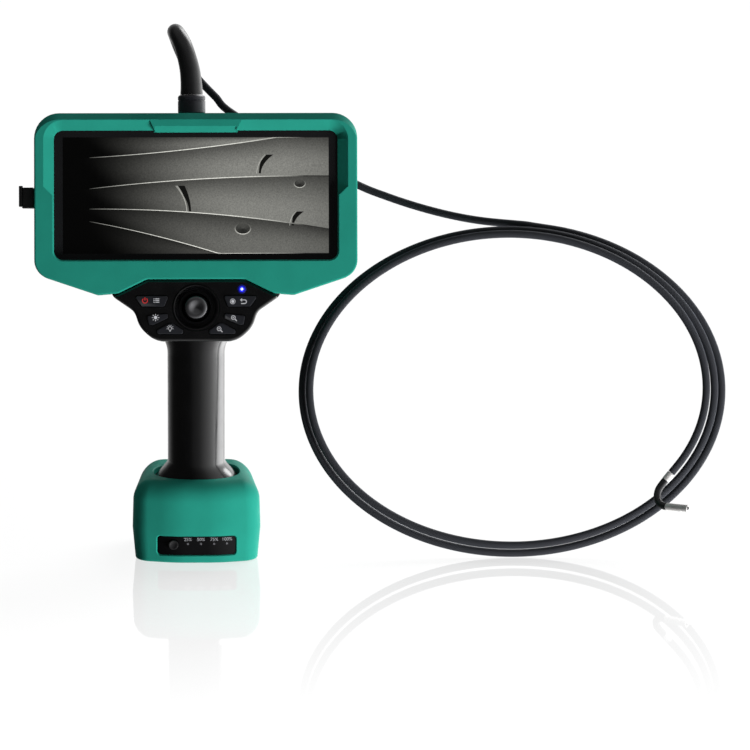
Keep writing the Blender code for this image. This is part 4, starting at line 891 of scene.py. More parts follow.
# Each plate's height, slant, sweep and brightness, from the top down
PLATES = (
    (0.0420, 0.10, 0.9, 0.55), (0.0236, 0.115, 0.55, 0.95), (0.0082, 0.06, -0.55, 1.0),
    (-0.0085, -0.075, -0.75, 0.95), (-0.0255, -0.29, -1.0, 0.62), (-0.0600, -0.3, 0.0, 0.3),
)
# Each stay's place across, foot, top, lean and width
STAYS = (
    (0.0305, 0.0111, 0.0205, 0.0042, 0.0007), (-0.0045, -0.0083, 0.0050, -0.0052, 0.0008),
    (0.0470, -0.0150, -0.0080, 0.0030, 0.0006),
)
HOLES = ((0.0235, -0.0165, 0.0036), (0.0520, 0.0060, 0.0026))
BLUE_SHARE = 0.95


def patch(shape, corner, columns, rows, lift, tone):
    """A grid of corner(s, t) points, lifted off the glass and toned by tone(s, t)."""
    layer = shape.verts.layers.float_color["shade"]
    grid = []
    for s in shares(columns):
        line = []
        for t in shares(rows):
            point = shape.verts.new((*corner(s, t), GLASS_FRONT + lift))
            value = tone(s, t)
            point[layer] = (value, value, value * BLUE_SHARE, 1.0)
            line.append(point)
        grid.append(line)
    for line, after in zip(grid, grid[1:]):
        for corners in zip(line, after, after[1:], line[1:]):
            shape.faces.new(corners)


def within_picture(y):
    return min(max(y, PICTURE_LOW), PICTURE_HIGH)


def plate_edge(index, x):
    height, slant, sweep, _ = PLATES[index]
    return within_picture(height + slant * x + sweep * x * x)


def draw_plate(shape, index):
    """The wall of the duct under a plate's edge, lit from the right, and the edge's bright rim."""
    bright = PLATES[index + 1][3]

    def wall(s, t):
        x = -PICTURE_HALF + 2 * PICTURE_HALF * s
        lower = plate_edge(index + 1, x)
        return x, lower + (plate_edge(index, x) - lower) * t

    def wall_tone(s, t):
        lit = ease((s - 0.16 + 0.10 * t) / 0.55) * (0.16 + 0.84 * ease(1.25 - t))
        return 0.0006 + 0.24 * bright * lit * (1.0 - 0.3 * ease((s - 0.8) / 0.3))

    def rim(s, t):
        x = -PICTURE_HALF + 2 * PICTURE_HALF * (0.10 + 0.90 * s)
        return x, within_picture(plate_edge(index, x) + (t - 0.5) * (0.00025 + 0.00030 * s))

    def rim_tone(s, t):
        return 0.03 + 0.85 * math.sin(math.pi * min(1.0, s * 1.12)) ** 0.8

    patch(shape, wall, 40, 8, 0.00005, wall_tone)
    if index:
        patch(shape, rim, 60, 1, 0.00008, rim_tone)


def draw_stay(shape, x, foot, top, lean, width):
    """A short curved stay between two plates, bright on one side and dark on the other."""
    def strip(shift, wide):
        def corner(s, t):
            across = lean * s * s + (t - 0.5) * wide * (0.35 + 1.3 * s * s)
            return x + shift + across, foot + (top - foot) * s
        return corner

    patch(shape, strip(0.0016, 0.0030), 12, 1, 0.00007, lambda s, t: 0.006)
    patch(shape, strip(0.0, width), 12, 1, 0.00010, lambda s, t: 0.55 - 0.25 * s)


def draw_hole(shape, x, y, size):
    """A round hole seen at a slant, with a rim that is bright below."""
    def ring(inner, outer):
        def corner(s, t):
            angle = 2 * math.pi * s
            radius = inner + (outer - inner) * t
            return x + radius * math.cos(angle), y + 0.72 * radius * math.sin(angle)
        return corner

    def high(s):
        return (1 + math.sin(2 * math.pi * s)) / 2

    patch(shape, ring(0.0, size), 32, 2, 0.00009, lambda s, t: 0.02 + 0.05 * high(s))
    patch(shape, ring(size, size * 1.16), 32, 2, 0.00009, lambda s, t: 0.08 + 0.55 * (1 - high(s)) ** 2)


def build_picture():
    shape = bmesh.new()
    shape.verts.layers.float_color.new("shade")
    for index in range(len(PLATES) - 1):
        draw_plate(shape, index)
    for stay in STAYS:
        draw_stay(shape, *stay)
    for hole in HOLES:
        draw_hole(shape, *hole)
    picture = solid("display_picture", shape, HEAD, picture_look())
    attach(picture, "handset")


def build_glass():
    glass = stacked("display_glass", offset(WINDOW, 0.0042), GLASS_FRONT - 0.0020, GLASS_FRONT, HEAD,
                    SCREEN_GLASS, high_round=0.0002, turns=2)
    settle(glass, "handset", "dark_glass", "cover_glass")


# Socket and its cover
SLOT_DEPTH = 0.0062
SLOT = rectangle(0.0016, -0.0042, 0.0042, 0.0015)
COVER_INNER = -0.0012
COVER_OUTER = 0.0047
COVER_TOP = 0.0135
KNUCKLE = 0.0012


def build_socket():
    floor = PORT_FACE - SLOT_DEPTH
    block = stacked("port_block_moulding", PORT_EDGE, PORT_BACK, PORT_FACE, SOCKET, MATT, high_round=0.0003,
                    steps=4, turns=3)
    carve(block, SLOT, floor, PORT_FACE + REACH, SOCKET)
    liner = stacked("port_liner", offset(SLOT, -0.0001), floor + 0.0002, PORT_FACE - 0.0004, SOCKET, STEEL)
    carve(liner, offset(SLOT, -0.0004), floor + 0.0005, PORT_FACE + REACH, SOCKET)
    tongue = stacked("port_tongue", rectangle(0.0004, -0.0032, 0.0032), floor + 0.0006, PORT_FACE - 0.0012,
                     SOCKET, MATT, steps=2)
    settle(block, "handset", "black_matte", "port_block")
    settle(joined("port_socket", [liner, tongue]), "handset", "steel")


def build_cover():
    profile = [
        (COVER_INNER, -KNUCKLE, 0.001125), (KNUCKLE, -KNUCKLE, 0.001125), (KNUCKLE, 0.0020, 0.0005),
        (COVER_OUTER, 0.0042, 0.0010), (COVER_OUTER, COVER_TOP, 0.0008), (COVER_INNER, COVER_TOP, 0.0006),
    ]
    cover = stacked("socket_cover", profile, -0.0052, 0.0052, COVER_HINGE, RUBBER, 0.0004, 0.0004, turns=4)
    lip = [
        (COVER_OUTER - GAP, 0.0050, 0.0005), (COVER_OUTER + 0.0016, 0.0050, 0.0007),
        (COVER_OUTER + 0.0016, COVER_TOP + GAP, 0.0007), (COVER_OUTER - GAP, COVER_TOP + GAP, 0.0005),
    ]
    cut(cover, stacked("lip", lip, -0.0044, 0.0060, COVER_HINGE, None, 0.0003, 0.0003, turns=4), "UNION")
    settle(cover, "port_cover", "rubber", "port_cover")


# Key symbols: lines as (points, width, print), in millimetres of the head's plane
def dot(x, y, radius):
    return arc_line(x, y, radius / 2, 0, 360, 16), radius, PRINT


def spokes(x, y, inner, outer, first, last, count, width):
    """Short lines round a middle, from one angle in degrees to another."""
    angles = [math.radians(first + (last - first) * share) for share in shares(count - 1)]
    lines = [[(x + r * math.cos(a), y + r * math.sin(a)) for r in (inner, outer)] for a in angles]
    return [(line, width, PRINT) for line in lines]


def power_symbol(x, y):
    """An open ring with a stroke in it, and the lines of a menu."""
    lines = [(arc_line(x, y, 1.25, 128, 412), 0.42, RED_PRINT), ([(x, y), (x, y + 1.6)], 0.42, RED_PRINT)]
    for row in (-0.85, 0.0, 0.85):
        for start, end in ((4.30, 4.80), (5.20, 7.15)):
            lines.append(([(x + start, y + row), (x + end, y + row)], 0.42, PRINT))
    return lines


def back_symbol(x, y):
    """A ringed dot, and an arrow that turns back."""
    lines = [dot(x, y, 0.75), (arc_line(x, y, 1.22, 0, 360, 28), 0.26, PRINT)]
    x = x + 5.4
    shaft = [(x - 1.5, y + 0.75), (x + 0.55, y + 0.75)]
    shaft += arc_line(x + 0.55, y - 0.15, 0.9, 80, -90, 14) + [(x - 1.2, y - 1.05)]
    head = [(x - 0.75, y + 1.45), (x - 1.55, y + 0.75), (x - 0.75, y + 0.05)]
    return lines + [(shaft, 0.40, PRINT), (head, 0.40, PRINT)]


def sun_symbol(x, y):
    return [dot(x, y, 0.85)] + spokes(x, y, 1.15, 1.85, 0, 315, 8, 0.32)


def bulb_symbol(x, y):
    bulb = arc_line(x, y + 0.35, 0.78, -50, 230, 24)
    outline = bulb + [(x - 0.30, y - 0.75), (x + 0.30, y - 0.75), bulb[0]]
    cap = [(x - 0.30, y - 1.10), (x + 0.30, y - 1.10)]
    return [(outline, 0.30, PRINT), (cap, 0.28, PRINT)] + spokes(x, y + 0.35, 1.15, 1.75, -10, 190, 6, 0.28)


def zoom_out_symbol(x, y):
    """A magnifying glass with a minus in it."""
    return [
        (arc_line(x - 0.25, y + 0.25, 0.95, 0, 360, 28), 0.30, PRINT),
        ([(x + 0.42, y - 0.42), (x + 1.45, y - 1.45)], 0.46, PRINT),
        ([(x - 0.70, y + 0.25), (x + 0.20, y + 0.25)], 0.26, PRINT),
    ]


def zoom_in_symbol(x, y):
    return zoom_out_symbol(x, y) + [([(x - 0.25, y - 0.20), (x - 0.25, y + 0.70)], 0.26, PRINT)]


# Control panel and keys
KEY_FIT = 0.00035
KEY_FLANGE = 0.0008
KEY_BACK = POCKET_FLOOR - GAP - KEY_FLANGE
KEY_TOP = PANEL_FRONT + 0.0009
PRINT_SINK = 0.00005
PRINT_RISE = 0.00004
TOP_KEY = ((0.0137, 0.0058), (0.0159, 0.0005), (0.0271, 0.0005), (0.0310, 0.0058))
MIDDLE_KEY = ((0.0141, -0.0030), (0.0142, -0.0053), (0.0217, -0.0087), (0.0237, -0.0085), (0.0246, -0.0042))
LOWER_KEY = (
    (0.0066, -0.0113), (0.0066, -0.0132), (0.0195, -0.0132), (0.0197, -0.0114), (0.0135, -0.0080),
    (0.0117, -0.0080),
)
# Each key's use, outline, side, symbol and the symbol's middle
KEYS = (
    ("power", TOP_KEY, -1, power_symbol, -25.55, -52.5),
    ("back", TOP_KEY, 1, back_symbol, 18.35, -53.0),
    ("brightness", MIDDLE_KEY, -1, sun_symbol, -20.25, -61.0),
    ("zoom_in", MIDDLE_KEY, 1, zoom_in_symbol, 18.9, -61.3),
    ("lamp", LOWER_KEY, -1, bulb_symbol, -13.05, -66.75),
    ("zoom_out", LOWER_KEY, 1, zoom_out_symbol, 11.75, -66.9),
)


def key_edge(corners, side):
    return [(side * x, y - JOYSTICK_DROP, 0.0010) for x, y in corners[::side]]


def build_keys():
    for use, corners, side, symbol, x, y in KEYS:
        edge = key_edge(corners, side)
        button = stacked("button", edge, KEY_BACK, KEY_TOP, HEAD, KEY, high_round=0.0004, steps=6, turns=4)
        rim = offset(edge, 0.0007)
        cut(button, stacked("flange", rim, KEY_BACK, KEY_BACK + KEY_FLANGE, HEAD, KEY, steps=5), "UNION")
        marks = [stroke(*line, KEY_TOP - PRINT_SINK, KEY_TOP + PRINT_RISE) for line in symbol(x, y)]
        settle(joined(f"{use}_button", [button] + marks), f"key_{use}", "key_grey", f"key_{use}")


def build_panel():
    flank = neck_side(0.0012)
    panel = stacked("panel_face", mirrored(flank + PANEL_SHOULDER), PANEL_BACK, PANEL_FRONT, HEAD, GLOSS,
                    high_round=0.0015, turns=7)
    below = PANEL_BACK - REACH
    pocket = offset(mirrored(flank[:-1] + PANEL_SHOULDER), -0.0020)
    carve(panel, pocket, below, POCKET_FLOOR, HEAD)
    drill(panel, CRATER_RADIUS + GAP, below, REACH, STICK, 96)
    drill(panel, 2 * HEART_RADIUS, below, REACH, STATUS_LAMP, 32)
    for _, corners, side, *_ in KEYS:
        carve(panel, offset(key_edge(corners, side), KEY_FIT), below, REACH, HEAD, 5)
    settle(panel, "handset", "black_gloss", "control_panel")


# Status lamp
HEART_RADIUS = 0.0007
# Each ring of light's look, inner and outer radius and height
LAMP_RINGS = ((BLUE_GLOW, 0.00072, 0.0015, 0.00030), (BLUE_HAZE, 0.0015, 0.0022, 0.00020))


def build_status_lamp():
    """A white heart in a blue ring, with a faint haze of light round it on the panel."""
    heart = dome(HEART_RADIUS, PANEL_FRONT + 0.0001, 0.0004, 4)
    heart += [(HEART_RADIUS, POCKET_FLOOR - GAP), (0.0, POCKET_FLOOR - GAP)]
    made = [turned("lamp_heart", heart, STATUS_LAMP, WHITE_GLOW, 32)]
    low = PANEL_FRONT + 0.00002
    for look, inner, outer, height in LAMP_RINGS:
        high = PANEL_FRONT + height
        ring = [(inner, high), (outer - 0.0002, high - 0.00005), (outer, high - 0.00015)]
        made.append(turned("lamp_ring", ring + [(outer, low), (inner, low)], STATUS_LAMP, look, 48))
    settle(joined("status_lamp", made), "handset", "blue_lens", "status_lens", angle=50.0)


# Joystick
CRATER_RADIUS = 0.0116
CRATER_BORE = 0.00729
DISH_INNER = 0.0082
DISH_WIDTH = 0.0030
SKIRT_RADIUS = 0.0076
SKIRT_WALL = 0.0008
SKIRT_ANGLE = math.radians(64.0)
STEM_RADIUS = 0.0016
BALL_RADIUS = 0.0025
KNOB_RADIUS = 0.0056
KNOB_HEIGHT = 0.0040
KNOB_DISH = 0.0040
KNOB_DIP = 0.0019
KNOB_ROUND = 0.0012


def polar(radius, start, end, count):
    """Points on a circle about the pivot between two angles from the stick's axis."""
    angles = [start + (end - start) * share for share in shares(count)]
    return [(radius * math.sin(angle), radius * math.cos(angle)) for angle in angles]


def build_crater():
    rim = PANEL_FRONT - 0.00005
    low = POCKET_FLOOR + 0.00025
    high = POCKET_FLOOR + 0.0010
    foot = POCKET_FLOOR - 0.0009
    profile = [
        (CRATER_RADIUS - GAP, rim), (CRATER_RADIUS - 0.00005, rim - 0.00003), (CRATER_RADIUS, rim - 0.0001),
        (CRATER_RADIUS, foot), (CRATER_BORE, foot), (CRATER_BORE, low), (CRATER_BORE + 0.00005, high),
        (CRATER_BORE + 0.0002, high + 0.0002), (CRATER_BORE + 0.0004, high + 0.0002),
        (CRATER_BORE + 0.0006, high), (CRATER_BORE + 0.0007, low),
    ]
    dish = POCKET_FLOOR + 0.0003
    for share in shares(16):
        profile.append((DISH_INNER + DISH_WIDTH * share, dish + (rim - dish) * ease(share)))
    crater = turned("joystick_crater", profile, STICK, GLOSS, 96)
    settle(crater, "handset", "black_gloss", "joystick_bezel", angle=40.0)


def build_joystick():
    """A domed skirt on a ball, which fills the crater's bore, and a dished knob on top of it."""
    top = SKIRT_RADIUS + SKIRT_WALL
    inner = SKIRT_RADIUS - SKIRT_WALL
    outline = [(0.0, top), (STEM_RADIUS, top)]
    outline += polar(SKIRT_RADIUS, math.asin(STEM_RADIUS / SKIRT_RADIUS), SKIRT_ANGLE, 16)
    outline += polar(inner, SKIRT_ANGLE, math.asin(STEM_RADIUS / inner), 12)
    outline += polar(BALL_RADIUS, math.asin(STEM_RADIUS / BALL_RADIUS), math.pi, 12)[:-1]
    outline.append((0.0, -BALL_RADIUS))
    skirt = turned("joystick_skirt", outline, PIVOT, GLOSS, 64)
    settle(skirt, "joystick", "steel", "joystick_stick", angle=40.0)

    low = top + GAP
    high = low + KNOB_HEIGHT
    cap = [(KNOB_DISH * share, high - KNOB_DIP * (1 - share * share) ** 2) for share in shares(16)]
    for angle in [QUARTER * share for share in shares(8)[1:]]:
        radius = KNOB_DISH + (KNOB_RADIUS - KNOB_DISH) * math.sin(angle)
        cap.append((radius, high - KNOB_ROUND * (1 - math.cos(angle))))
    cap += [(KNOB_RADIUS, high - 0.0022), (KNOB_RADIUS * 0.96, high - 0.0026), (KNOB_RADIUS * 0.55, low)]
    knob = turned("joystick_knob", cap + [(0.0, low)], PIVOT, KNOB, 72)
    settle(knob, "joystick", "black_gloss", "joystick_cap", angle=40.0)


# Grip: its widths and seam are matched to the photograph, and its lip is the scene's own
GRIP_Y = -0.002
GRIP_FOOT = 0.0339
GRIP_TOP = (HEAD @ Vector((0.0, -PANEL_FOOT, PANEL_FRONT))).z
GRIP_POWER = 2.3
GRIP_HALF = 0.0144
GRIP_FOOT_HALF = 0.0203
GRIP_TOP_HALF = 0.0176
GRIP_DEPTH = 0.0179
GRIP_FOOT_DEPTH = 0.0190
GRIP_RIM = GRIP_FOOT + 0.0036
FOOT_FLARE = 0.0095
TOP_FLARE = 0.010
GRIP_WALL = 0.0024
GRIP_SEAM = -0.0085
GRIP_LIP = 0.0012


def grip_ring(half_width, half_depth, height, sides=88):
    """A ring between an ellipse and a rectangle."""
    points = []
    for angle in full_turn(sides):
        across = math.copysign(abs(math.cos(angle)) ** (2 / GRIP_POWER), math.cos(angle))
        along = math.copysign(abs(math.sin(angle)) ** (2 / GRIP_POWER), math.sin(angle))
        points.append(Vector((half_width * across, GRIP_Y + half_depth * along, height)))
    return points


def grip_rings(shrink, low, high):
    flare_foot = GRIP_TOP - TOP_FLARE
    heights = [low] + [GRIP_RIM + FOOT_FLARE * share for share in shares(10)]
    heights += [flare_foot + TOP_FLARE * share for share in shares(8)] + [high]
    rings = []
    for height in heights:
        if not low <= height <= high:
            continue
        foot = ease((GRIP_RIM + FOOT_FLARE - height) / FOOT_FLARE)
        top = min((max(height - flare_foot, 0.0) / TOP_FLARE) ** 2, 1.0)
        half_width = GRIP_HALF + (GRIP_FOOT_HALF - GRIP_HALF) * foot + (GRIP_TOP_HALF - GRIP_HALF) * top
        half_depth = GRIP_DEPTH + (GRIP_FOOT_DEPTH - GRIP_DEPTH) * foot
        rings.append(grip_ring(half_width - shrink, half_depth - shrink, height))
    return rings


def build_grip():
    """Two half shells with a lapped seam: a lip on the rear one reaches in behind the front one's edge."""
    top = GRIP_TOP + REACH
    far = GUARD_HALF
    for node_name, sign in (("grip_front", -1), ("grip_rear", 1)):
        shell = lofted(f"{node_name}_shell", grip_rings(0.0, GRIP_FOOT, top), look=GLOSS)
        near = GRIP_SEAM + sign * GAP / 2
        carve(shell, rectangle(far, *sorted((near, near - sign * far))), 0.0, top + REACH, steps=1)
        lip_foot = GRIP_FOOT + 0.0008 if sign > 0 else GRIP_FOOT - REACH
        lip = lofted("lip", grip_rings(GRIP_WALL / 2 + sign * GAP / 2, lip_foot, top + REACH))
        lip_end = GRIP_SEAM - GRIP_LIP + (sign - 1) * GAP / 2
        carve(lip, rectangle(far, lip_end - far, lip_end), 0.0, top + 2 * REACH, steps=1)
        cut(shell, lip, "UNION" if sign > 0 else "DIFFERENCE")
        cut(shell, lofted("hollow", grip_rings(GRIP_WALL, GRIP_FOOT - REACH, top + 2 * REACH)))
        carve(shell, rectangle(far, -PANEL_FOOT, far), -far, far, HEAD, 1)
        settle(shell, "handset", "black_gloss", node_name)


# Battery base: its sides and shoulder are matched to the photograph
BOOT_HEIGHT = 0.0410
BOOT_WALL = 0.0026
BOOT_FRONT_HALF = 0.0327
BOOT_BACK_HALF = 0.0284
BOOT_LEAN = 0.0026
BOOT_CORNER = 0.0105
BOOT_LEAST_CORNER = 0.0038
BOOT_NOSE_HALF = 0.0120
BOOT_NOSE_DEPTH = 0.0060
BOOT_NOSE_ROUND = 0.046
BOOT_SOLE = 0.0012
BOOT_SOLE_INSET = 0.0014
BOOT_LEVELS = (0.0060, 0.0110, 0.0165, 0.0220, 0.0270)
BOOT_WAIST = BOOT_LEVELS[2]
SHOULDER = 0.0308
SHOULDER_INSET = 0.0004
SHOULDER_ROUND = 0.0092
WELL_HALF = 0.0216
WELL_DEPTH = 0.0203
WELL_ROUND = 0.0007


def boot_ring(inset, height):
    lean = BOOT_LEAN * max(height - SHOULDER, 0.0) / (BOOT_HEIGHT - SHOULDER)
    plan = mirrored([
        (BOOT_NOSE_HALF, -BOOT_FRONT, BOOT_NOSE_ROUND),
        (BOOT_FRONT_HALF, -BOOT_FRONT + BOOT_NOSE_DEPTH, BOOT_CORNER),
        (BOOT_BACK_HALF - lean, BOOT_BACK, BOOT_CORNER),
    ])
    return level(offset(plan, -inset, BOOT_LEAST_CORNER), height, 14)


def boot_inset(height):
    """How far the base's outside stands in from its widest level."""
    if height <= BOOT_WAIST:
        return BOOT_SOLE_INSET * (1 - max(height - BOOT_SOLE, 0.0) / (BOOT_WAIST - BOOT_SOLE))
    if height <= SHOULDER:
        return SHOULDER_INSET * (height - BOOT_WAIST) / (SHOULDER - BOOT_WAIST)
    rise = min((height - SHOULDER) / (BOOT_HEIGHT - SHOULDER), 1.0)
    return SHOULDER_INSET + SHOULDER_ROUND * (1 - math.sqrt(1 - rise * rise))


def boot_rings(depth):
    """The rings of the base's outside above its sole, or of a body that lies this deep under it."""
    heights = [SHOULDER + (BOOT_HEIGHT - SHOULDER) * math.sin(QUARTER * share) for share in shares(16)]
    rings = [boot_ring(boot_inset(height) + depth, height) for height in BOOT_LEVELS]
    return rings + [boot_ring(boot_inset(height) + depth, height - depth) for height in heights]


def boot_core(depth):
    """The body that lies this deep under the base's outside, open below."""
    return lofted("core", [boot_ring(boot_inset(BOOT_SOLE) + depth, -REACH)] + boot_rings(depth))


def boot_front(x, height):
    """The Y of the base's front face."""
    ring = boot_ring(boot_inset(height), height)
    crossings = []
    for a, b in zip(ring, ring[1:] + ring[:1]):
        if min(a.x, b.x) <= x <= max(a.x, b.x) and abs(a.x - b.x) > 1e-9:
            crossings.append(a.y + (b.y - a.y) * (x - a.x) / (b.x - a.x))
    return min(crossings)


def on_front(points, lift):
    """Flat points of the gauge, laid on the base's front face and lifted off it."""
    return [Vector((x, boot_front(x, GAUGE_HEIGHT + y) - lift, GAUGE_HEIGHT + y)) for x, y in points]


def dense(points, per_corner, count=14):
    """An outline with extra points along its straight sides, which lie between its rounded corners."""
    made = []
    for index, point in enumerate(points):
        made.append(point)
        if index % per_corner == per_corner - 1:
            after = points[(index + 1) % len(points)]
            made += [point + (after - point) * share for share in shares(count)[1:-1]]
    return made


def build_boot():
    sole = [(0.0026, 0.0), (BOOT_SOLE_INSET + 0.0005, 0.0003), (BOOT_SOLE_INSET + 0.0001, 0.0008),
            (BOOT_SOLE_INSET, BOOT_SOLE)]
    boot = lofted("base_boot", [boot_ring(*edge) for edge in sole] + boot_rings(0.0), look=GREEN)
    cut(boot, boot_core(BOOT_WALL))
    well = [(0.0, 0.0336), (0.0, BOOT_HEIGHT - WELL_ROUND), (WELL_ROUND, BOOT_HEIGHT),
            (WELL_ROUND + REACH, BOOT_HEIGHT + REACH)]
    rings = [grip_ring(WELL_HALF + grow, WELL_DEPTH + grow, height) for grow, height in well]
    cut(boot, lofted("well", rings))
    slope = [on_front(dense(rounded(offset(GAUGE_EDGE, grow), 6), 7), lift) for grow, lift in GAUGE_SLOPE]
    cut(boot, lofted("gauge_slope", slope))
    carve(boot, GAUGE_EDGE, GAUGE_BACK, REACH, GAUGE, 6)
    carve(boot, offset(LATCH_EDGE, 0.0004), -0.0070, REACH, LATCH, 6)
    settle(boot, "battery", "green_plastic", "battery_boot")


# Battery gauge
GAUGE_EDGE = rectangle(0.0197, -0.0049, 0.0049, 0.0016)
GAUGE_BACK = -0.0086
# How far the slope round the gauge grows past its edge, and its lift off the front face
GAUGE_SLOPE = ((-0.0004, -0.0012), (0.0005, 0.0), (0.0065, 0.0060))
GLASS_DEPTH = 0.0006
PUSH_RADIUS = 0.0024
PUSH = (
    (0.0, -0.0006), (0.0015, -0.00055), (0.0019, -0.0003), (0.0022, -0.0003), (PUSH_RADIUS, -0.00055),
    (PUSH_RADIUS, GAP - BOOT_WALL), (0.0, GAP - BOOT_WALL),
)
LABELS = (("25%", -0.00435), ("50%", 0.00225), ("75%", 0.00885), ("100%", 0.01525))
LABEL_HEIGHT = 0.0024
LABEL_Y = 0.0033
LED_RADIUS = 0.00055
LED_Y = 0.0010


def build_gauge():
    window = stacked("gauge_glass", offset(GAUGE_EDGE, -GAP), GAUGE_BACK, REACH, GAUGE, DARK_GLASS, steps=6)
    cut(window, boot_core(GLASS_DEPTH), "INTERSECT")
    cut(window, boot_core(BOOT_WALL))
    drill(window, PUSH_RADIUS + 0.00035, -0.0037, REACH, GAUGE_PUSH)
    settle(window, "battery", "dark_glass", "gauge_window")
    settle(turned("gauge_push", PUSH, GAUGE_PUSH, RUBBER, 48), "gauge_button", "key_grey", "gauge_button")


def label(text, x):
    """A flat text, laid on the gauge's glass."""
    curve = bpy.data.curves.new(text, "FONT")
    curve.body = text
    curve.size = LABEL_HEIGHT
    curve.align_x = "CENTER"
    curve.align_y = "CENTER"
    writing = placed(text, curve)
    bpy.context.view_layer.update()
    mesh = bpy.data.meshes.new_from_object(writing.evaluated_get(bpy.context.evaluated_depsgraph_get()))
    bpy.data.objects.remove(writing, do_unlink=True)
    bpy.data.curves.remove(curve)
    flat = [(vert.co.x + x, vert.co.y + LABEL_Y) for vert in mesh.vertices]
    for vert, spot in zip(mesh.vertices, on_front(flat, 0.00004 - GLASS_DEPTH)):
        vert.co = spot
    return piece("label", mesh, look=LABEL_PRINT)


def build_gauge_marks():
    marks = []
    for text, x in LABELS:
        marks.append(label(text, x))
        disc = [(x + LED_RADIUS * math.cos(a), LED_Y + LED_RADIUS * math.sin(a)) for a in full_turn(20)]
        rings = [on_front(disc[::-1], lift - GLASS_DEPTH) for lift in (-0.0001, 0.00006)]
        marks.append(lofted("led", rings, look=DIM_PRINT))
    labels = joined("gauge_marks", marks)
    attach(labels, "battery")


# Release catch
LATCH_EDGE = rectangle(0.0090, -0.0030, 0.0030, 0.0015)
LATCH_FACE = 0.0007
GROOVE = rectangle(0.0004, -0.0021, 0.0021, 0.0003)


def build_latch():
    catch = stacked("latch_push", LATCH_EDGE, -0.0055, LATCH_FACE, LATCH, MATT, high_round=0.0004, steps=6,
                    turns=4)
    for x in (-0.0050, -0.0025, 0.0, 0.0025, 0.0050):
        carve(catch, GROOVE, LATCH_FACE - 0.0004, REACH, LATCH @ at(x, 0.0, 0.0), 4)
    settle(catch, "battery_latch", "black_matte", "battery_latch")


# Gland
GLAND_RADIUS = 0.0069
# The nut's outline from the top: how far in from its side, and how far down
GLAND_STEPS = (
    (0.0011, 0.0), (0.0006, 0.0002), (0.0002, 0.0006), (0.0, 0.0010), (0.0, 0.0024), (0.0003, 0.0026),
    (0.0003, 0.0029), (0.0, 0.0031),
)


def build_gland():
    profile = [(0.0, COLLAR_HEIGHT)]
    profile += [(GLAND_RADIUS - inset, COLLAR_HEIGHT - drop) for inset, drop in GLAND_STEPS]
    profile += [(GLAND_RADIUS, 0.0004), (GLAND_RADIUS - 0.0004, 0.0), (0.0, 0.0)]
    settle(turned("gland_nut", profile, GLAND, COLLAR, 72), "handset", "dark_anodised", "gland_collar")


place_camera()
build_probe()
build_guard()
build_housing()
build_picture()
build_glass()
build_socket()
build_cover()
build_panel()
build_keys()
build_status_lamp()
build_crater()
build_joystick()
build_grip()
build_boot()
build_gauge()
build_gauge_marks()
build_latch()
build_gland()

# Solids carried over from the CAD
CARRIED = {
    "display_gasket": RUBBER, "display_module": MATT, "main_board": CIRCUIT, "steering_motor": STEEL,
    "steering_pulley": STEEL, "keypad_board": CIRCUIT, "joystick_gimbal": STEEL, "joystick_base": MATT,
    "battery_cells": CELL, "gauge_board": CIRCUIT, "terminal_block": MATT, "battery_case": MATT,
    "base_plate": MATT,
}
for name, look in CARRIED.items():
    NODES[name].data.materials.clear()
    NODES[name].data.materials.append(look)

# Floor and light
FLOOR_HALF = 3.0
FLOOR_PLACE = (0.1, 0.0, -0.0001)
FLOOR_GREY = (0.25, 0.25, 0.25, 1.0)
FLOOR_WHITE = (0.96, 0.96, 0.96, 1.0)
# The floor's polish: between two places from front to back it goes from none to this share
FLOOR_POLISH = (-0.46, -0.03, 0.0, 0.28)
WALL_LIGHT = 5.5
# The light of the studio's wall, from its dark end at the upper left to its bright one at the lower right
WALL = [(share, (strength / WALL_LIGHT,) * 3) for share, strength in (
    (0.0, 0.04), (0.275, 0.035), (0.44, 0.22), (0.51, 0.43), (0.605, 0.70), (0.705, 0.96), (0.805, 1.4),
    (0.893, 2.1), (0.955, 3.8), (0.985, WALL_LIGHT),
)]
WALL_BRIGHT = (0.80, 0.34, -0.50)
WALL_BEHIND = (0.66, 0.75, 0.0)
UP = (0.0, 0.0, 1.0)
BACKWARDS = (0.0, 1.0, 0.0)
CEILING_LIGHT = 0.3
KEY_PLACE = Vector((0.76, -0.60, -0.33))
KEY_AIM = Vector((0.0, 0.0, 0.16))
KEY_SIZE = 0.5
KEY_POWER = 17.0
SKY_HEADING = (-0.50, -0.66, -0.56)
SKY_POWER = 2.2
SKY_ANGLE = math.radians(40.0)


def largest(tree, *values):
    first, *others = values
    for value in others:
        first = maths(tree, "MAXIMUM", first, value)
    return first


def towards(tree, source, direction, *limits):
    """How far a place or direction lies towards another, carried over into a range."""
    dot_product = node(tree, "VectorMath", source, direction, operation="DOT_PRODUCT").outputs["Value"]
    return ranged(tree, dot_product, *limits)


def floor_look():
    """A white floor, whose polish and with it the reflection fade towards the viewer."""
    made, tree, shader = new_material("pale_floor")
    tree.nodes.remove(shader)
    path = node(tree, "LightPath").outputs
    seen = largest(tree, path["Is Camera Ray"], path["Is Glossy Ray"], path["Is Transmission Ray"])
    matt = node(tree, "BsdfDiffuse", Color=FLOOR_GREY).outputs["BSDF"]
    white = node(tree, "Emission", Color=FLOOR_WHITE, Strength=seen).outputs["Emission"]
    plain = node(tree, "AddShader", matt, white).outputs["Shader"]
    place = node(tree, "TexCoord").outputs["Object"]
    polish = towards(tree, place, BACKWARDS, *FLOOR_POLISH)
    mirror = node(tree, "BsdfGlossy", Roughness=0.03).outputs["BSDF"]
    both = node(tree, "MixShader", polish, plain, mirror).outputs["Shader"]
    give(tree, tree.nodes["Material Output"], Surface=both)
    return made


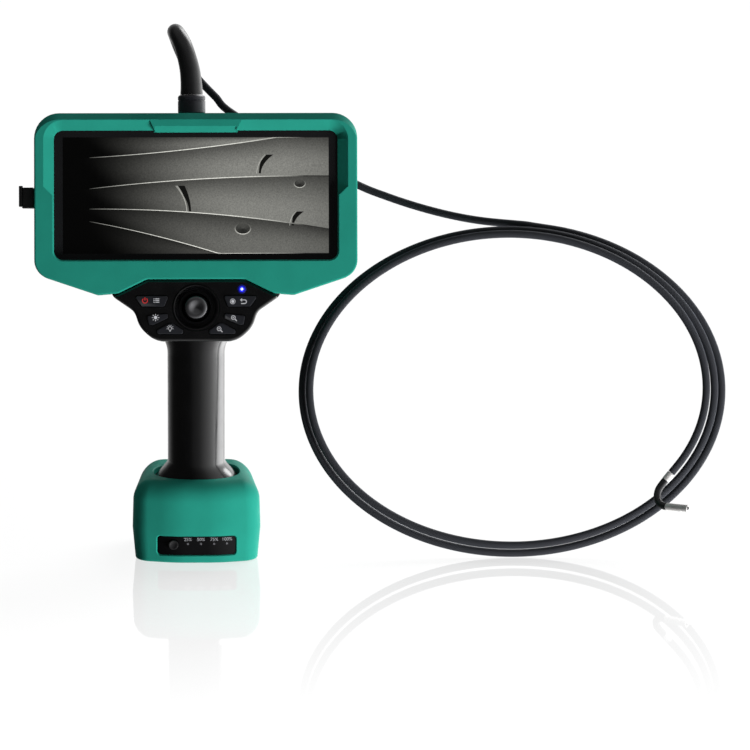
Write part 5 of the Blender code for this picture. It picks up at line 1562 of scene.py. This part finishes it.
def build_floor():
    shape = bmesh.new()
    bmesh.ops.create_grid(shape, x_segments=1, y_segments=1, size=FLOOR_HALF)
    floor = solid("floor", shape, WORLD, floor_look())
    floor.location = FLOOR_PLACE
    floor.visible_glossy = False
    floor.visible_shadow = False


def build_world():
    """White where it is seen or mirrored from behind, and otherwise a wall and a ceiling of light."""
    world = bpy.data.worlds.new("studio")
    bpy.context.scene.world = world
    world.use_nodes = True
    tree = world.node_tree
    path = node(tree, "LightPath").outputs
    direction = node(tree, "TexCoord").outputs["Generated"]
    wall = ramp(tree, towards(tree, direction, WALL_BRIGHT, -1.0, 1.0, 0.0, 1.0), WALL)
    # Below the floor only polished things see the wall
    above = towards(tree, direction, UP, -0.03, 0.02, 0.0, 1.6)
    reach = largest(tree, above, ranged(tree, path["Is Glossy Ray"], 0.0, 1.0, 0.0, WALL_LIGHT))
    ceiling = towards(tree, direction, UP, 0.45, 0.80, 0.0, CEILING_LIGHT)
    behind = towards(tree, direction, WALL_BEHIND, 0.58, 0.73, 0.0, 1.0)
    mirrored_white = maths(tree, "MULTIPLY", path["Is Glossy Ray"], behind)
    seen = largest(tree, path["Is Camera Ray"], path["Is Transmission Ray"], mirrored_white)
    strength = largest(tree, maths(tree, "MULTIPLY", wall, reach), ceiling, seen)
    give(tree, tree.nodes["Background"], Color=(1.0, 1.0, 1.0, 1.0), Strength=strength)


def light(name, kind, heading, **settings):
    """A light that shines along its heading."""
    data = bpy.data.lights.new(name, kind)
    for key, value in settings.items():
        setattr(data, key, value)
    made = placed(name, data)
    made.rotation_euler = Vector(heading).to_track_quat("-Z", "Y").to_euler()
    return made


def build_lights():
    # The key light comes from below, as if a pale table threw it back. The floor casts no shadow.
    heading = KEY_AIM - KEY_PLACE
    key = light("key", "AREA", heading, shape="RECTANGLE", size=KEY_SIZE, size_y=KEY_SIZE, energy=KEY_POWER)
    key.location = KEY_PLACE
    key.visible_glossy = False
    light("sky", "SUN", SKY_HEADING, energy=SKY_POWER, angle=SKY_ANGLE)


build_floor()
build_world()
build_lights()
